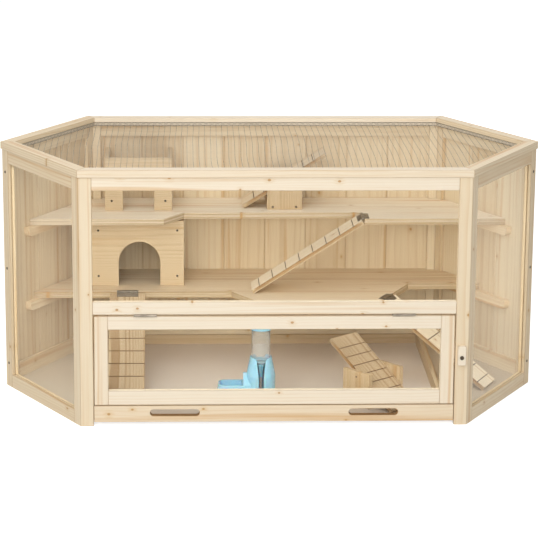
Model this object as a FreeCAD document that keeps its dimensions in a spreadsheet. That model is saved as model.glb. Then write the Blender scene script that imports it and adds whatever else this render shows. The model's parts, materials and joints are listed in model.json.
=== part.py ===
# Six-sided wooden hamster cage on three levels, in millimetres and degrees.
# The origin is on the ground at the middle. X runs to the right, Y to the back and Z up.
import FreeCAD, Part
import math
import operator
import os

import Sketcher
from FreeCAD import Placement, Rotation, Vector

doc = FreeCAD.newDocument("HamsterCage")

SIZES = {
    # The body is a hexagon with a long front and a long back.
    "front_length": 800,
    "body_depth": 600,
    "corner_turn": 60,
    "body_height": 525,
    # Frame timber.
    "timber": 16,
    "upright": 28,
    "front_upright": 27,
    "top_rail": 28,
    "front_top_rail": 27,
    "bottom_rail": 30,
    "back_bottom_rail": 45,
    "mid_rail": 26,
    "mid_rail_rise": 53,
    "groove_depth": 6,
    "fit_gap": 0.3,
    # How far a cutting shape reaches past the face that it cuts.
    "cut_over": 1,
    # Clear panes, and the tongued boards that line the back.
    "pane": 2,
    "pane_set_back": 7,
    "board": 6,
    "board_width": 93,
    "back_boards": 8,
    "side_boards": 3,
    "tongue": 3,
    "tongue_thickness": 2,
    "board_bevel": 1,
    # Small round pieces that repeat have this many sides.
    "small_sides": 12,
    # Screw heads.
    "screw_radius": 3,
    "screw_head": 0.8,
    "screw_from_ground": 53,
    "screw_from_top": 48,
    # Shelves: the rooms above them, and their reach from the back wall and the corners.
    "shelf": 14,
    "upper_room": 172,
    "mid_room": 167,
    "upper_shelf_depth": 222,
    "upper_notch_depth": 160,
    "upper_left_wing": 171,
    "upper_left_slant": 43,
    "upper_right_wing": 189,
    "mid_shelf_depth": 213,
    "mid_left_wing": 320,
    "mid_left_slant": 79,
    "mid_tongue_depth": 340,
    "mid_right_slant": 96,
    "mid_notch_depth": 147,
    "batten": 14,
    "batten_height": 20,
    "batten_round": 10,
    "batten_from_side": 72,
    "batten_from_back": 34,
    "batten_from_corner": 50,
    # Drawer with its floor, and the fixed floors beside it.
    "drawer_rise": 9,
    "drawer_front_height": 35,
    "drawer_gap": 1,
    "drawer_slot_length": 102,
    "drawer_slot_height": 14,
    "drawer_slot_place": 205.5,
    "drawer_slot_rise": 20,
    "floor": 3,
    "drawer_wall": 8,
    "drawer_wall_height": 30,
    "drawer_back_height": 21,
    "drawer_side_room": 15,
    "runner_wall": 8,
    "runner_height": 28,
    "runner_ledge": 26,
    "runner_set_back": 30,
    # Door between the drawer and the middle rail.
    "door_foot_gap": 2,
    "door_top_gap": 4,
    "door_side_gap": 2.5,
    "door_upright": 28,
    "door_top_rail": 28,
    "door_bottom_rail": 30,
    # Turn button that locks the door.
    "button_long_arm": 25,
    "button_short_arm": 17,
    "button_width": 18,
    "button_thickness": 8,
    "button_corner": 2,
    "button_rise": 101,
    "button_from_corner": 14,
    "button_screw_radius": 2,
    "button_screw_head": 4.2,
    "button_screw_head_height": 1.6,
    # Lid of six mitred rails with a wire mesh under it.
    "lid_overhang": 3,
    "lid_rail": 28,
    "lid_thickness": 16,
    "mesh_inset": 18,
    "mesh_pitch": 60,
    "mesh_strand": 2,
    "mesh_thickness": 1,
    # Butt hinges of steel sheet.
    "hinge_length": 47,
    "barrel_radius": 2.4,
    "pin_radius": 1.05,
    "pin_play": 0.05,
    "knuckle_gap": 0.2,
    "leaf": 1,
    "leaf_from_axis": 2.7,
    "leaf_to_axis": 13.6,
    "leaf_tab": 1.3,
    "door_hinge_place": 265.5,
    "door_hinge_forward": 1.6,
    "lid_hinge_place": 255,
    "lid_hinge_back": 6,
    # Ramps that hang from the shelves.
    "ramp_length": 292,
    "ramp_thickness": 9,
    "ramp_start": 4,
    "ramp_hinge_out": 3,
    "ramp_groove": 2,
    "ramp_groove_depth": 1.5,
    "ramp_groove_pitch": 35,
    "ramp_groove_first": 26,
    "ramp_groove_count": 8,
    "narrow_ramp_width": 70,
    "wide_ramp_width": 78,
    "upper_ramp_gap": 3,
    "left_ramp_gap": 1.5,
    "right_ramp_gap": 29,
    "right_ramp_along": 86,
    # Seesaws.
    "seesaw_length": 218,
    "seesaw_width": 78,
    "seesaw_thickness": 9,
    "seesaw_pivot": 63,
    "seesaw_pitch": 26,
    "seesaw_groove_count": 7,
    "seesaw_play": 2,
    "plate_length": 78,
    "plate_height": 75,
    "plate_thickness": 10,
    "cross_bar": 12,
    "seesaw_pin_radius": 1.8,
    "floor_seesaw_from_corner": 185,
    "floor_seesaw_from_front": 132,
    "floor_seesaw_heading": -48.9,
    "upper_seesaw_x": 39,
    "upper_seesaw_from_back": 80,
    # Houses.
    "house_wall": 10,
    "lower_house_from_corner": 10,
    "lower_house_width": 205,
    "lower_house_top_gap": 5,
    "lower_house_back_gap": 3,
    "lower_house_side": 125,
    "lower_door_left": 60,
    "lower_door_width": 92,
    "lower_door_height": 100,
    "upper_house_from_corner": 40,
    "upper_house_width": 149,
    "upper_house_height": 119,
    "upper_house_back_gap": 12,
    "upper_house_side": 111,
    "upper_door_left": 40,
    "upper_door_width": 69,
    "upper_door_height": 80,
    "house_screw_radius": 2.5,
    "house_screw_rise": 22,
    "house_screw_in": 15,
    # Feeder with its drinking bottle.
    "feeder_x": -23,
    "feeder_from_front": 150,
    "tower_foot_radius": 31,
    "tower_bend": 54,
    "tower_top_radius": 23,
    "tower_height": 94,
    "tower_wall": 2.5,
    "tower_collar_drop": 9,
    "tower_collar": 3,
    "tower_slot_width": 11,
    "tower_slot_foot": 6,
    "tower_neck_width": 18,
    "tower_lip": 8,
    "collar_play": 1.5,
    "dish_reach": 90,
    "dish_width": 46,
    "dish_rim": 36,
    "dish_floor": 16,
    "dish_wall": 3.5,
    "dish_corner": 14,
    "dish_lean": 6.3,
    "dish_shield": 6.5,
    "dish_peak": 58,
    "dish_peak_width": 8,
    "bottle_radius": 19.8,
    "bottle_height": 69,
    "bottle_neck_radius": 9,
    "bottle_neck": 5,
    "bottle_shoulder": 3,
    "bottle_shoulder_rise": 3,
    "cap_height": 11,
    "cap_overlap": 1.7,
    "cap_bevel": 2,
    "cone_top_radius": 8.6,
    "cone_foot_radius": 4.2,
    "cone_foot": 49,
    "cone_foot_length": 11,
    "cone_rim": 4,
    "spout_radius": 2.8,
    "spout_bevel": 1,
    "spout_foot": 24,
}
HALF_TURN = 180
QUARTER_TURN = 90


class Size:
    """A length, angle or ratio: its formula in the document's sheets, and its number."""

    def __init__(self, text, number):
        self.text = text
        self.number = number

    def __add__(self, other):
        return joined(self, "+", other)

    def __radd__(self, other):
        return joined(other, "+", self)

    def __sub__(self, other):
        return joined(self, "-", other)

    def __rsub__(self, other):
        return joined(other, "-", self)

    def __mul__(self, other):
        return joined(self, "*", other)

    def __rmul__(self, other):
        return joined(other, "*", self)

    def __truediv__(self, other):
        return joined(self, "/", other)

    def __rtruediv__(self, other):
        return joined(other, "/", self)

    def __neg__(self):
        return joined(0, "-", self)


SIGNS = {"+": operator.add, "-": operator.sub, "*": operator.mul, "/": operator.truediv}


def as_size(value):
    return value if isinstance(value, Size) else Size(f"({value})", value)


def joined(left, sign, right):
    left = as_size(left)
    right = as_size(right)
    return Size(f"({left.text} {sign} {right.text})", SIGNS[sign](left.number, right.number))


def sin(angle):
    return Size(f"sin({angle.text})", math.sin(math.radians(angle.number)))


def cos(angle):
    return Size(f"cos({angle.text})", math.cos(math.radians(angle.number)))


def tan(angle):
    return Size(f"tan({angle.text})", math.tan(math.radians(angle.number)))


def asin(ratio):
    return Size(f"(asin({ratio.text}) / 1 deg)", math.degrees(math.asin(ratio.number)))


def atan(ratio):
    return Size(f"(atan({ratio.text}) / 1 deg)", math.degrees(math.atan(ratio.number)))


def hypot(one, other):
    one = as_size(one)
    other = as_size(other)
    return Size(f"sqrt({one.text}^2 + {other.text}^2)", math.hypot(one.number, other.number))


class Sheet:
    """A spreadsheet whose cells are reached by their aliases."""

    def __init__(self, name):
        self.name = name
        self.page = doc.addObject("Spreadsheet::Sheet", name)
        self.rows = 0

    def keep(self, alias, text, number):
        self.rows += 1
        self.page.set(f"A{self.rows}", alias)
        self.page.set(f"B{self.rows}", text)
        self.page.setAlias(f"B{self.rows}", alias)
        setattr(self, alias, Size(f"{self.name}.{alias}", number))
        return getattr(self, alias)


size = Sheet("Sizes")
for alias, number in SIZES.items():
    size.keep(alias, str(number), number)
derived = Sheet("Derived")


def named(alias, formula):
    """Keep a worked-out size in a cell of its own."""
    return derived.keep(alias, "=" + formula.text, formula.number)


half_front = named("half_front", size.front_length / 2)
half_depth = named("half_depth", size.body_depth / 2)
side_turn = named("side_turn", HALF_TURN - 2 * size.corner_turn)
side_length = named("side_length", half_depth / sin(size.corner_turn))
half_width = named("half_width", half_front + side_length * cos(size.corner_turn))
front_slant = named("front_slant", tan(size.corner_turn / 2))
side_slant = named("side_slant", tan(side_turn / 2))
upper_level = named("upper_level", size.body_height - size.upper_room)
mid_level = named("mid_level", upper_level - size.mid_room)
floor_level = named("floor_level", size.drawer_rise + size.floor)
mid_rail_bottom = named("mid_rail_bottom", mid_level + size.mid_rail_rise)
doc.recompute()


def bind(piece, **sizes):
    """Tie properties of a piece to sizes."""
    for name, value in sizes.items():
        piece.setExpression(name, as_size(value).text)


def stand(piece, at, turn=None):
    """Turn a piece about its own origin, and put that origin at a point."""
    numbers = [as_size(value).number for value in at]
    piece.Placement = Placement(Vector(*numbers), turn or Rotation())
    for side, value in zip("xyz", at):
        piece.setExpression(f"Placement.Base.{side}", as_size(value).text)
    return piece


def heading(angle):
    """A turn about the upright, with +X brought to this angle."""
    return Rotation(Vector(0, 0, 1), as_size(angle).number)


def box(name, along, inward, up):
    """A block between the low and the high end of each direction."""
    piece = doc.addObject("Part::Box", name)
    bind(piece, Length=along[1] - along[0], Width=inward[1] - inward[0], Height=up[1] - up[0])
    return stand(piece, (along[0], inward[0], up[0]))


def rod(name, radius, length, at, direction):
    """A round bar from a point towards a direction."""
    piece = doc.addObject("Part::Cylinder", name)
    bind(piece, Radius=radius, Height=length)
    return stand(piece, at, Rotation(Vector(0, 0, 1), Vector(*direction)))


def small_rod(name, radius, length, at, direction):
    """A thin bar with a few flat sides in place of a round one, since many of these repeat."""
    piece = doc.addObject("Part::Prism", name)
    bind(piece, Polygon=size.small_sides, Circumradius=radius, Height=length)
    return stand(piece, at, Rotation(Vector(0, 0, 1), Vector(*direction)))


def small_bore(radius):
    """The corner radius of a hole in which a thin bar of this corner radius turns freely."""
    return (radius + size.pin_play) / cos(HALF_TURN / size.small_sides)


def mitred(name, outer, inner, inward, up):
    """A block whose two ends run from the outer pair of places to the inner pair."""
    piece = doc.addObject("Part::Wedge", name)
    bind(piece, Xmin=outer[0], Xmax=outer[1], X2min=inner[0], X2max=inner[1])
    bind(piece, Ymin=inward[0], Ymax=inward[1])
    bind(piece, Zmin=up[0], Zmax=up[1], Z2min=up[0], Z2max=up[1])
    return piece


def cut(name, base, *tools):
    """A piece with other shapes taken away from it."""
    piece = doc.addObject("Part::Cut", name)
    piece.Base = base
    piece.Tool = tools[0] if len(tools) == 1 else fuse(name + "_hollow", *tools)
    return piece


def fuse(name, *pieces):
    piece = doc.addObject("Part::MultiFuse", name)
    piece.Shapes = list(pieces)
    return piece


def group(name, *pieces):
    """Separate solids that share a node."""
    piece = doc.addObject("Part::Compound", name)
    piece.Links = list(pieces)
    return piece


def sketch(body, name, role, corners, lift=0):
    """A closed outline on one of the body's own planes, anticlockwise.

    A corner is a pair of places. Two more places make the edge that leaves it an arc about
    that centre.
    """
    drawing = body.newObject("Sketcher::SketchObject", name)
    plane = next(one for one in body.Origin.OriginFeatures if one.Role == role)
    drawing.AttachmentSupport = [(plane, "")]
    drawing.MapMode = "FlatFace"
    drawing.setExpression("AttachmentOffset.Base.z", as_size(lift).text)
    corners = [[as_size(place) for place in corner] for corner in corners]
    points = [Vector(corner[0].number, corner[1].number, 0) for corner in corners]
    count = len(points)
    for at, corner in enumerate(corners):
        start = points[at]
        end = points[(at + 1) % count]
        if len(corner) == 2:
            drawing.addGeometry(Part.LineSegment(start, end))
        else:
            centre = Vector(corner[2].number, corner[3].number, 0)
            circle = Part.Circle(centre, Vector(0, 0, 1), centre.distanceToPoint(start))
            angles = [math.atan2(point.y - centre.y, point.x - centre.x) for point in (start, end)]
            drawing.addGeometry(Part.ArcOfCircle(circle, *angles))
    for at in range(count):
        drawing.addConstraint(Sketcher.Constraint("Coincident", at, 2, (at + 1) % count, 1))
    for at, corner in enumerate(corners):
        fix_point(drawing, at, 1, "X", corner[0])
        fix_point(drawing, at, 1, "Y", corner[1])
        if len(corner) == 4:
            level = abs(points[at].y - points[(at + 1) % count].y) < 1e-6
            fix_point(drawing, at, 3, "Y" if level else "X", corner[3 if level else 2])
    return drawing


def fix_point(drawing, edge, point, side, place):
    """Hold one coordinate of an edge's point at a place from the origin."""
    rule = Sketcher.Constraint(f"Distance{side}", -1, 1, edge, point, place.number)
    number = drawing.addConstraint(rule)
    drawing.setExpression(f"Constraints[{number}]", place.text)


def body_of(name):
    return doc.addObject("PartDesign::Body", name)


def pad(body, name, drawing, length, reverse=False):
    """A sketch raised to a solid."""
    feature = body.newObject("PartDesign::Pad", name)
    feature.Profile = drawing
    feature.Reversed = reverse
    bind(feature, Length=length)
    drawing.Visibility = False
    return feature


def pocket(body, name, drawing):
    """A sketch cut through the whole body, both ways."""
    feature = body.newObject("PartDesign::Pocket", name)
    feature.Profile = drawing
    feature.Type = "ThroughAll"
    feature.Midplane = True
    return feature


def row_of(body, name, feature, drawing, count, pitch):
    """Copies of a feature in a row along the sketch's first axis."""
    pattern = body.newObject("PartDesign::LinearPattern", name)
    pattern.Originals = [feature]
    pattern.Direction = (drawing, ["H_Axis"])
    bind(pattern, Occurrences=count, Length=pitch * (count - 1))
    body.Tip = pattern
    return pattern


def revolved(name, outline, at):
    """A turned piece: half its section, in radius and height, spun about the upright."""
    body = body_of(name)
    drawing = sketch(body, name + "_section", "XZ_Plane", outline)
    turn = body.newObject("PartDesign::Revolution", name + "_turned")
    turn.Profile = drawing
    turn.ReferenceAxis = (drawing, ["V_Axis"])
    turn.Angle = 2 * HALF_TURN
    return stand(body, at)


def block_outline(along, up):
    return [(along[0], up[0]), (along[1], up[0]), (along[1], up[1]), (along[0], up[1])]


NODES = {}


def node(label, *pieces):
    """Give a sub-part its name."""
    piece = pieces[0] if len(pieces) == 1 else group(label, *pieces)
    piece.Label = label
    NODES[label] = piece
    return piece


# Each side of the hexagon has its own directions: along the outer face, inward and up.
# A side starts at its left corner, seen from outside, and is turned about the upright.
PANELS = {
    "front": ((-half_front, -half_depth), 0, size.front_length),
    "right_front": ((half_front, -half_depth), size.corner_turn, side_length),
    "right_back": ((half_width, 0), HALF_TURN - size.corner_turn, side_length),
    "back": ((half_front, half_depth), HALF_TURN, size.front_length),
    "left_back": ((-half_front, half_depth), HALF_TURN + size.corner_turn, side_length),
    "left_front": ((-half_width, 0), 2 * HALF_TURN - size.corner_turn, side_length),
}
LONG_SIDES = ("front", "back")


def in_panel(piece, panel):
    """Move a piece from a side's own directions to its place in the cage."""
    corner, turn, length = PANELS[panel]
    return stand(piece, (corner[0], corner[1], 0), heading(turn))


def slants(panel):
    """How fast the mitres at a side's start and end close in."""
    if panel in LONG_SIDES:
        return front_slant, front_slant
    if panel in ("right_front", "left_back"):
        return front_slant, side_slant
    return side_slant, front_slant


def uprights(panel, width, *tools):
    """The two mitred uprights of a side."""
    length = PANELS[panel][2]
    start, end = slants(panel)
    depth = (0, size.timber)
    height = (0, size.body_height)
    first = mitred(f"{panel}_start", (0, width), (size.timber * start, width), depth, height)
    last = mitred(f"{panel}_end", (length - width, length),
                  (length - width, length - size.timber * end), depth, height)
    return [cut(f"{panel}_start_cut", first, *tools), cut(f"{panel}_end_cut", last, *tools)]


def groove(panel, width, low, high, inward):
    """The space that a sheet takes in the timbers round it."""
    length = PANELS[panel][2]
    edge = width - size.groove_depth
    return box(f"{panel}_groove", (edge, length - edge), inward, (low, high))


def sheet_edges(panel, width, low, high):
    """The sides, bottom and top of a sheet that sits in a groove with a small gap."""
    length = PANELS[panel][2]
    edge = width - size.groove_depth + size.fit_gap
    return (edge, length - edge), (low + size.fit_gap, high - size.fit_gap)


pane_inward = (size.pane_set_back, size.pane_set_back + size.pane)
pane_groove = (pane_inward[0] - size.fit_gap / 2, pane_inward[1] + size.fit_gap / 2)
board_groove = (-size.cut_over, size.board + size.fit_gap)
screw_low = size.screw_from_ground
screw_high = size.body_height - size.screw_from_top
screw_heights = (screw_low, (screw_low + screw_high) / 2, screw_high)


def screws(panel):
    """Screw heads down the upright that stands at a side corner."""
    length = PANELS[panel][2]
    at_start = panel in ("right_back", "left_front")
    along = size.upright / 2 if at_start else length - size.upright / 2
    heads = [small_rod(f"{panel}_screw", size.screw_radius, size.screw_head, (along, 0, height),
                       (0, -1, 0)) for height in screw_heights]
    return in_panel(group(f"{panel}_screws", *heads), panel)


def side_frame(panel, bottom, inward, holes=()):
    """Two uprights with a bottom and a top rail, grooved for the sheet between them."""
    length = PANELS[panel][2]
    low = bottom - size.groove_depth
    high = size.body_height - size.top_rail + size.groove_depth
    space = groove(panel, size.upright, low, high, inward)
    across = (size.upright, length - size.upright)
    depth = (0, size.timber)
    rails = [
        cut(f"{panel}_bottom", box(f"{panel}_bottom_bar", across, depth, (0, bottom)), space),
        cut(f"{panel}_top", box(f"{panel}_top_bar", across, depth,
                                (size.body_height - size.top_rail, size.body_height)),
            space, *holes),
    ]
    timbers = uprights(panel, size.upright, space) + rails
    in_panel(node(f"{panel}_frame", *timbers), panel)
    return sheet_edges(panel, size.upright, low, high)


def window(panel, edges):
    """A clear pane in its grooves."""
    pane = box(f"{panel}_pane", edges[0], pane_inward, edges[1])
    node(f"{panel}_window", in_panel(group(f"{panel}_window", pane), panel))


def lining_board(name, left, right, first, last, up):
    """One board: a tongue to the right, a groove to the left and bevelled inner edges."""
    middle = size.board / 2
    half_tongue = size.tongue_thickness / 2
    half_groove = half_tongue + size.fit_gap / 3
    outline = [(left, 0), (right, 0)]
    if not last:
        outline += [(right, middle - half_tongue), (right + size.tongue, middle - half_tongue),
                    (right + size.tongue, middle + half_tongue), (right, middle + half_tongue)]
    outline += [(right, size.board - size.board_bevel), (right - size.board_bevel, size.board),
                (left + size.board_bevel, size.board), (left, size.board - size.board_bevel)]
    if not first:
        deep = left + size.tongue + size.fit_gap
        outline += [(left, middle + half_groove), (deep, middle + half_groove),
                    (deep, middle - half_groove), (left, middle - half_groove)]
    body = body_of(name)
    drawing = sketch(body, name + "_section", "XY_Plane", outline, up[0])
    pad(body, name + "_length", drawing, up[1] - up[0])
    return body


def lining(panel, count, edges):
    """Tongued boards side by side in the frame; the outer two take up what is left."""
    across, up = edges
    middle = PANELS[panel][2] / 2
    count = count.number
    joints = [middle + size.board_width * (step - count / 2) for step in range(1, count)]
    sides = [across[0], *joints, across[1]]
    boards = [lining_board(f"{panel}_board", sides[at], sides[at + 1], at == 0, at == count - 1, up)
              for at in range(count)]
    in_panel(node(f"{panel}_boards", *boards), panel)


def hinge_mortise(name, inward, up):
    """Shallow seats for the leaves of the lid's two hinges, along the back."""
    reach = size.hinge_length / 2 + size.fit_gap
    middles = [half_front + side * size.lid_hinge_place for side in (-1, 1)]
    return [box(name, (middle - reach, middle + reach), inward, up) for middle in middles]


mortise_inward = (-size.lid_overhang - size.cut_over,
                  size.leaf_to_axis - size.lid_hinge_back + size.fit_gap)
for side_name in ("left_front", "right_front"):
    window(side_name, side_frame(side_name, size.bottom_rail, pane_groove))
body_mortises = hinge_mortise("body_mortise", mortise_inward,
                              (size.body_height - size.leaf, size.body_height + size.cut_over))
lining("back", size.back_boards, side_frame("back", size.back_bottom_rail, board_groove, body_mortises))
for side_name in ("left_back", "right_back"):
    lining(side_name, size.side_boards, side_frame(side_name, size.back_bottom_rail, board_groove))
node("frame_screws", *[screws(panel) for panel in PANELS if panel not in LONG_SIDES])

# The front: two posts with a top and a middle rail round a fixed pane. The door and the
# drawer close the opening below.
mid_rail_top = mid_rail_bottom + size.mid_rail
front_low = mid_rail_top - size.groove_depth
front_high = size.body_height - size.front_top_rail + size.groove_depth
front_groove = groove("front", size.front_upright, front_low, front_high, pane_groove)
door_bottom = size.drawer_rise + size.drawer_front_height + size.door_foot_gap
button_level = named("button_level", door_bottom + size.button_rise)
button_along = size.front_length - size.button_from_corner
button_hole = rod("button_screw_hole", size.button_screw_radius + size.pin_play, size.timber,
                  (button_along, 0, button_level), (0, 1, 0))
front_posts = uprights("front", size.front_upright, front_groove, button_hole)
front_across = (size.front_upright, size.front_length - size.front_upright)
front_depth = (0, size.timber)
top_bar = box("front_top_bar", front_across, front_depth,
              (size.body_height - size.front_top_rail, size.body_height))
mid_bar = box("front_mid_bar", front_across, front_depth, (mid_rail_bottom, mid_rail_top))
in_panel(node("front_left_post", front_posts[0]), "front")
in_panel(node("front_right_post", front_posts[1]), "front")
in_panel(node("front_top_rail", cut("front_top_cut", top_bar, front_groove)), "front")
in_panel(node("front_mid_rail", cut("front_mid_cut", mid_bar, front_groove)), "front")
window("front", sheet_edges("front", size.front_upright, front_low, front_high))


def wall_x(side, inset, y):
    """Where a side wall of the back half is, this far inside its outer face."""
    run = (half_depth - y - inset * cos(size.corner_turn)) / tan(size.corner_turn)
    return side * (half_front + run - inset * sin(size.corner_turn))


def side_x(inset, y):
    """Where the right wall of the front half is, this far inside its outer face."""
    return wall_x(1, inset, -y)


def wall_point(side, inset, from_back):
    """A point inside a side wall, this far along it from the back corner."""
    x = half_front + from_back * cos(size.corner_turn) - inset * sin(size.corner_turn)
    y = half_depth - from_back * sin(size.corner_turn) - inset * cos(size.corner_turn)
    return side * x, y


board_inset = named("board_inset", size.board + size.fit_gap)
timber_inset = named("timber_inset", size.timber + size.fit_gap)
upright_inset = named("upright_inset", size.upright + size.fit_gap)


def back_corner(side):
    """The shelf's outline round the uprights of a back corner, from the side to the back."""
    return [
        wall_point(side, board_inset, upright_inset),
        wall_point(side, timber_inset, upright_inset),
        (side * (half_front - timber_inset * front_slant), half_depth - timber_inset),
        (side * (half_front - upright_inset), half_depth - timber_inset),
        (side * (half_front - upright_inset), half_depth - board_inset),
    ]


def shelf(name, level, front, left_y, right_y):
    """A shelf: its front edge from left to right, then round the back to the start."""
    outline = [(wall_x(-1, board_inset, left_y), left_y), *front]
    outline += [(wall_x(1, board_inset, right_y), right_y)]
    outline += back_corner(1) + back_corner(-1)[::-1]
    body = body_of(name)
    drawing = sketch(body, name + "_outline", "XY_Plane", outline, level - size.shelf)
    pad(body, name + "_board", drawing, size.shelf)
    node(name, body)


leaf_rise = size.leaf / 2
ramp_drop = leaf_rise + size.ramp_thickness
ramp_reach = hypot(size.ramp_length, ramp_drop)


def ramp_slope(alias, level, below):
    """The slope at which the lower edge of a ramp's end comes to the level below."""
    drop = level + leaf_rise - below - size.fit_gap
    return named(alias, asin(drop / ramp_reach) - atan(ramp_drop / size.ramp_length))


upper_front = named("upper_front", half_depth - size.upper_shelf_depth)
upper_notch = named("upper_notch", half_depth - size.upper_notch_depth)
upper_left_turn = size.upper_left_wing - half_front
upper_right_step = half_front - size.upper_right_wing
shelf("upper_shelf", upper_level, [
    (upper_left_turn, upper_front),
    (upper_left_turn + size.upper_left_slant, upper_notch),
    (upper_right_step, upper_notch),
    (upper_right_step, upper_front),
], upper_front, upper_front)

# The notch in the middle shelf makes room for the right ramp: its slanted edge lies so far
# from the right side that the ramp's foot stays clear of the window's frame.
floor_slope = ramp_slope("floor_slope", mid_level, floor_level)
ramp_run = named("ramp_run", size.ramp_length * cos(floor_slope) + size.ramp_hinge_out)
mid_front = named("mid_front", half_depth - size.mid_shelf_depth)
mid_left_turn = size.mid_left_wing - half_front
mid_tongue_front = half_depth - size.mid_tongue_depth
mid_notch_back = named("mid_notch_back", half_depth - size.mid_notch_depth)
edge_turn = named("edge_turn", atan(size.mid_right_slant / (mid_notch_back - mid_tongue_front)))
half_ramp = size.narrow_ramp_width / 2
foot_y = (mid_tongue_front + size.right_ramp_along * cos(edge_turn) - ramp_run * sin(edge_turn)
          - half_ramp * cos(edge_turn))
foot_x = side_x(size.timber + size.right_ramp_gap, foot_y)
mid_tongue_right = named("mid_tongue_right", foot_x + half_ramp * sin(edge_turn)
                         - ramp_run * cos(edge_turn) - size.right_ramp_along * sin(edge_turn))
mid_notch = mid_tongue_right + size.mid_right_slant
shelf("mid_shelf", mid_level, [
    (mid_left_turn, mid_front),
    (mid_left_turn + size.mid_left_slant, mid_tongue_front),
    (mid_tongue_right, mid_tongue_front),
    (mid_notch, mid_notch_back),
], mid_front, mid_notch_back)


def batten(name, panel, along, level, open_end):
    """A bar under a shelf, with the lower corner of its open end rounded."""
    low = level - size.shelf - size.batten_height
    high = level - size.shelf
    if open_end is None:
        outline = block_outline(along, (low, high))
    elif open_end == "start":
        bend = along[0] + size.batten_round
        outline = [(along[0], high), (along[0], low + size.batten_round, bend,
                                      low + size.batten_round),
                   (bend, low), (along[1], low), (along[1], high)]
    else:
        bend = along[1] - size.batten_round
        outline = [(along[0], low), (bend, low, bend, low + size.batten_round),
                   (along[1], low + size.batten_round), (along[1], high), (along[0], high)]
    body = body_of(name)
    drawing = sketch(body, name + "_side", "XZ_Plane", outline, -size.board)
    pad(body, name + "_bar", drawing, size.batten, reverse=True)
    return in_panel(group(name + "_seat", body), panel)


battens = []
for level in (mid_level, upper_level):
    near = size.batten_from_side
    far = side_length - size.batten_from_back
    spare = size.batten_from_corner
    battens.append(batten("right_batten", "right_back", (near, far), level, "start"))
    battens.append(batten("left_batten", "left_back",
                          (side_length - far, side_length - near), level, "end"))
    battens.append(batten("back_batten", "back", (spare, size.front_length - spare), level, None))
node("shelf_battens", *battens)


def house(name, left, width, height, front, side, door, level):
    """A house with a round-topped doorway; the cage's back and the shelf above close it."""
    body = body_of(name + "_front")
    face = sketch(body, name + "_face", "XZ_Plane", block_outline((0, width), (0, height)))
    pad(body, name + "_panel", face, size.house_wall, reverse=True)
    door_left, door_width, door_height = door
    door_right = door_left + door_width
    spring = door_height - door_width / 2
    arch = sketch(body, name + "_arch", "XZ_Plane", [
        (door_left, -size.cut_over), (door_right, -size.cut_over),
        (door_right, spring, door_left + door_width / 2, spring), (door_left, spring)])
    pocket(body, name + "_doorway", arch)
    stand(body, (left, front, level))
    node(name + "_front", body)
    inward = (front + size.house_wall, front + size.house_wall + side)
    up = (level, level + height)
    node(name + "_sides",
         box(name + "_left", (left, left + size.house_wall), inward, up),
         box(name + "_right", (left + width - size.house_wall, left + width), inward, up))


def house_screws(name, left, width, height, front, level, rises):
    """Round heads that sit on the front over the ends of both sides."""
    heads = []
    for along in (left + size.house_screw_in, left + width - size.house_screw_in):
        for rise in rises:
            heads.append(small_rod(name, size.house_screw_radius, size.screw_head,
                                   (along, front, level + rise), (0, -1, 0)))
    return heads


lining_face = half_depth - size.board
lower_house_back = lining_face - size.batten - size.lower_house_back_gap
lower_house_height = size.mid_room - size.shelf - size.lower_house_top_gap
lower_house = (size.lower_house_from_corner - half_front, size.lower_house_width,
               lower_house_height, lower_house_back - size.lower_house_side - size.house_wall)
upper_house_back = lining_face - size.upper_house_back_gap
upper_house = (size.upper_house_from_corner - half_front, size.upper_house_width,
               size.upper_house_height, upper_house_back - size.upper_house_side - size.house_wall)
house("lower_house", *lower_house, size.lower_house_side,
      (size.lower_door_left, size.lower_door_width, size.lower_door_height), mid_level)
house("upper_house", *upper_house, size.upper_house_side,
      (size.upper_door_left, size.upper_door_width, size.upper_door_height), upper_level)
low_rise = size.house_screw_rise
node("house_screws",
     *house_screws("lower_house_screw", *lower_house, mid_level,
                   (low_rise, lower_house_height - low_rise)),
     *house_screws("upper_house_screw", *upper_house, upper_level, (low_rise,)))

# The drawer: a slotted front with the cage's floor, two walls and a low back behind it.
drawer_half = half_front - size.front_upright - size.drawer_gap
drawer_front = body_of("drawer_front")
drawer_up = (size.drawer_rise, size.drawer_rise + size.drawer_front_height)
drawer_face = sketch(drawer_front, "drawer_face", "XZ_Plane",
                     block_outline((-drawer_half, drawer_half), drawer_up))
pad(drawer_front, "drawer_board", drawer_face, size.timber, reverse=True)
for side in (-1, 1):
    round_end = size.drawer_slot_height / 2
    slot_from = side * size.drawer_slot_place - size.drawer_slot_length / 2 + round_end
    slot_to = side * size.drawer_slot_place + size.drawer_slot_length / 2 - round_end
    slot_z = size.drawer_rise + size.drawer_slot_rise
    slot = sketch(drawer_front, "finger_slot", "XZ_Plane", [
        (slot_from, slot_z - round_end), (slot_to, slot_z - round_end, slot_to, slot_z),
        (slot_to, slot_z + round_end), (slot_from, slot_z + round_end, slot_from, slot_z)])
    pocket(drawer_front, "finger_slot_cut", slot)
node("drawer_front", stand(drawer_front, (0, -half_depth, 0)))

inner_front = -half_depth + size.timber
inner_back = half_depth - size.timber
tray_half = named("tray_half", half_front - size.front_upright - size.drawer_side_room)
tray_back = inner_back - size.drawer_gap
wall_up = (floor_level, floor_level + size.drawer_wall_height)
node("drawer_floor", group("drawer_floor", box(
    "drawer_sheet", (-tray_half, tray_half), (inner_front, tray_back),
    (size.drawer_rise, floor_level))))
node("drawer_walls",
     box("drawer_left_wall", (-tray_half, size.drawer_wall - tray_half),
         (inner_front, tray_back), wall_up),
     box("drawer_right_wall", (tray_half - size.drawer_wall, tray_half),
         (inner_front, tray_back), wall_up),
     box("drawer_back_wall", (size.drawer_wall - tray_half, tray_half - size.drawer_wall),
         (tray_back - size.drawer_wall, tray_back),
         (floor_level, floor_level + size.drawer_back_height)))


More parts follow.
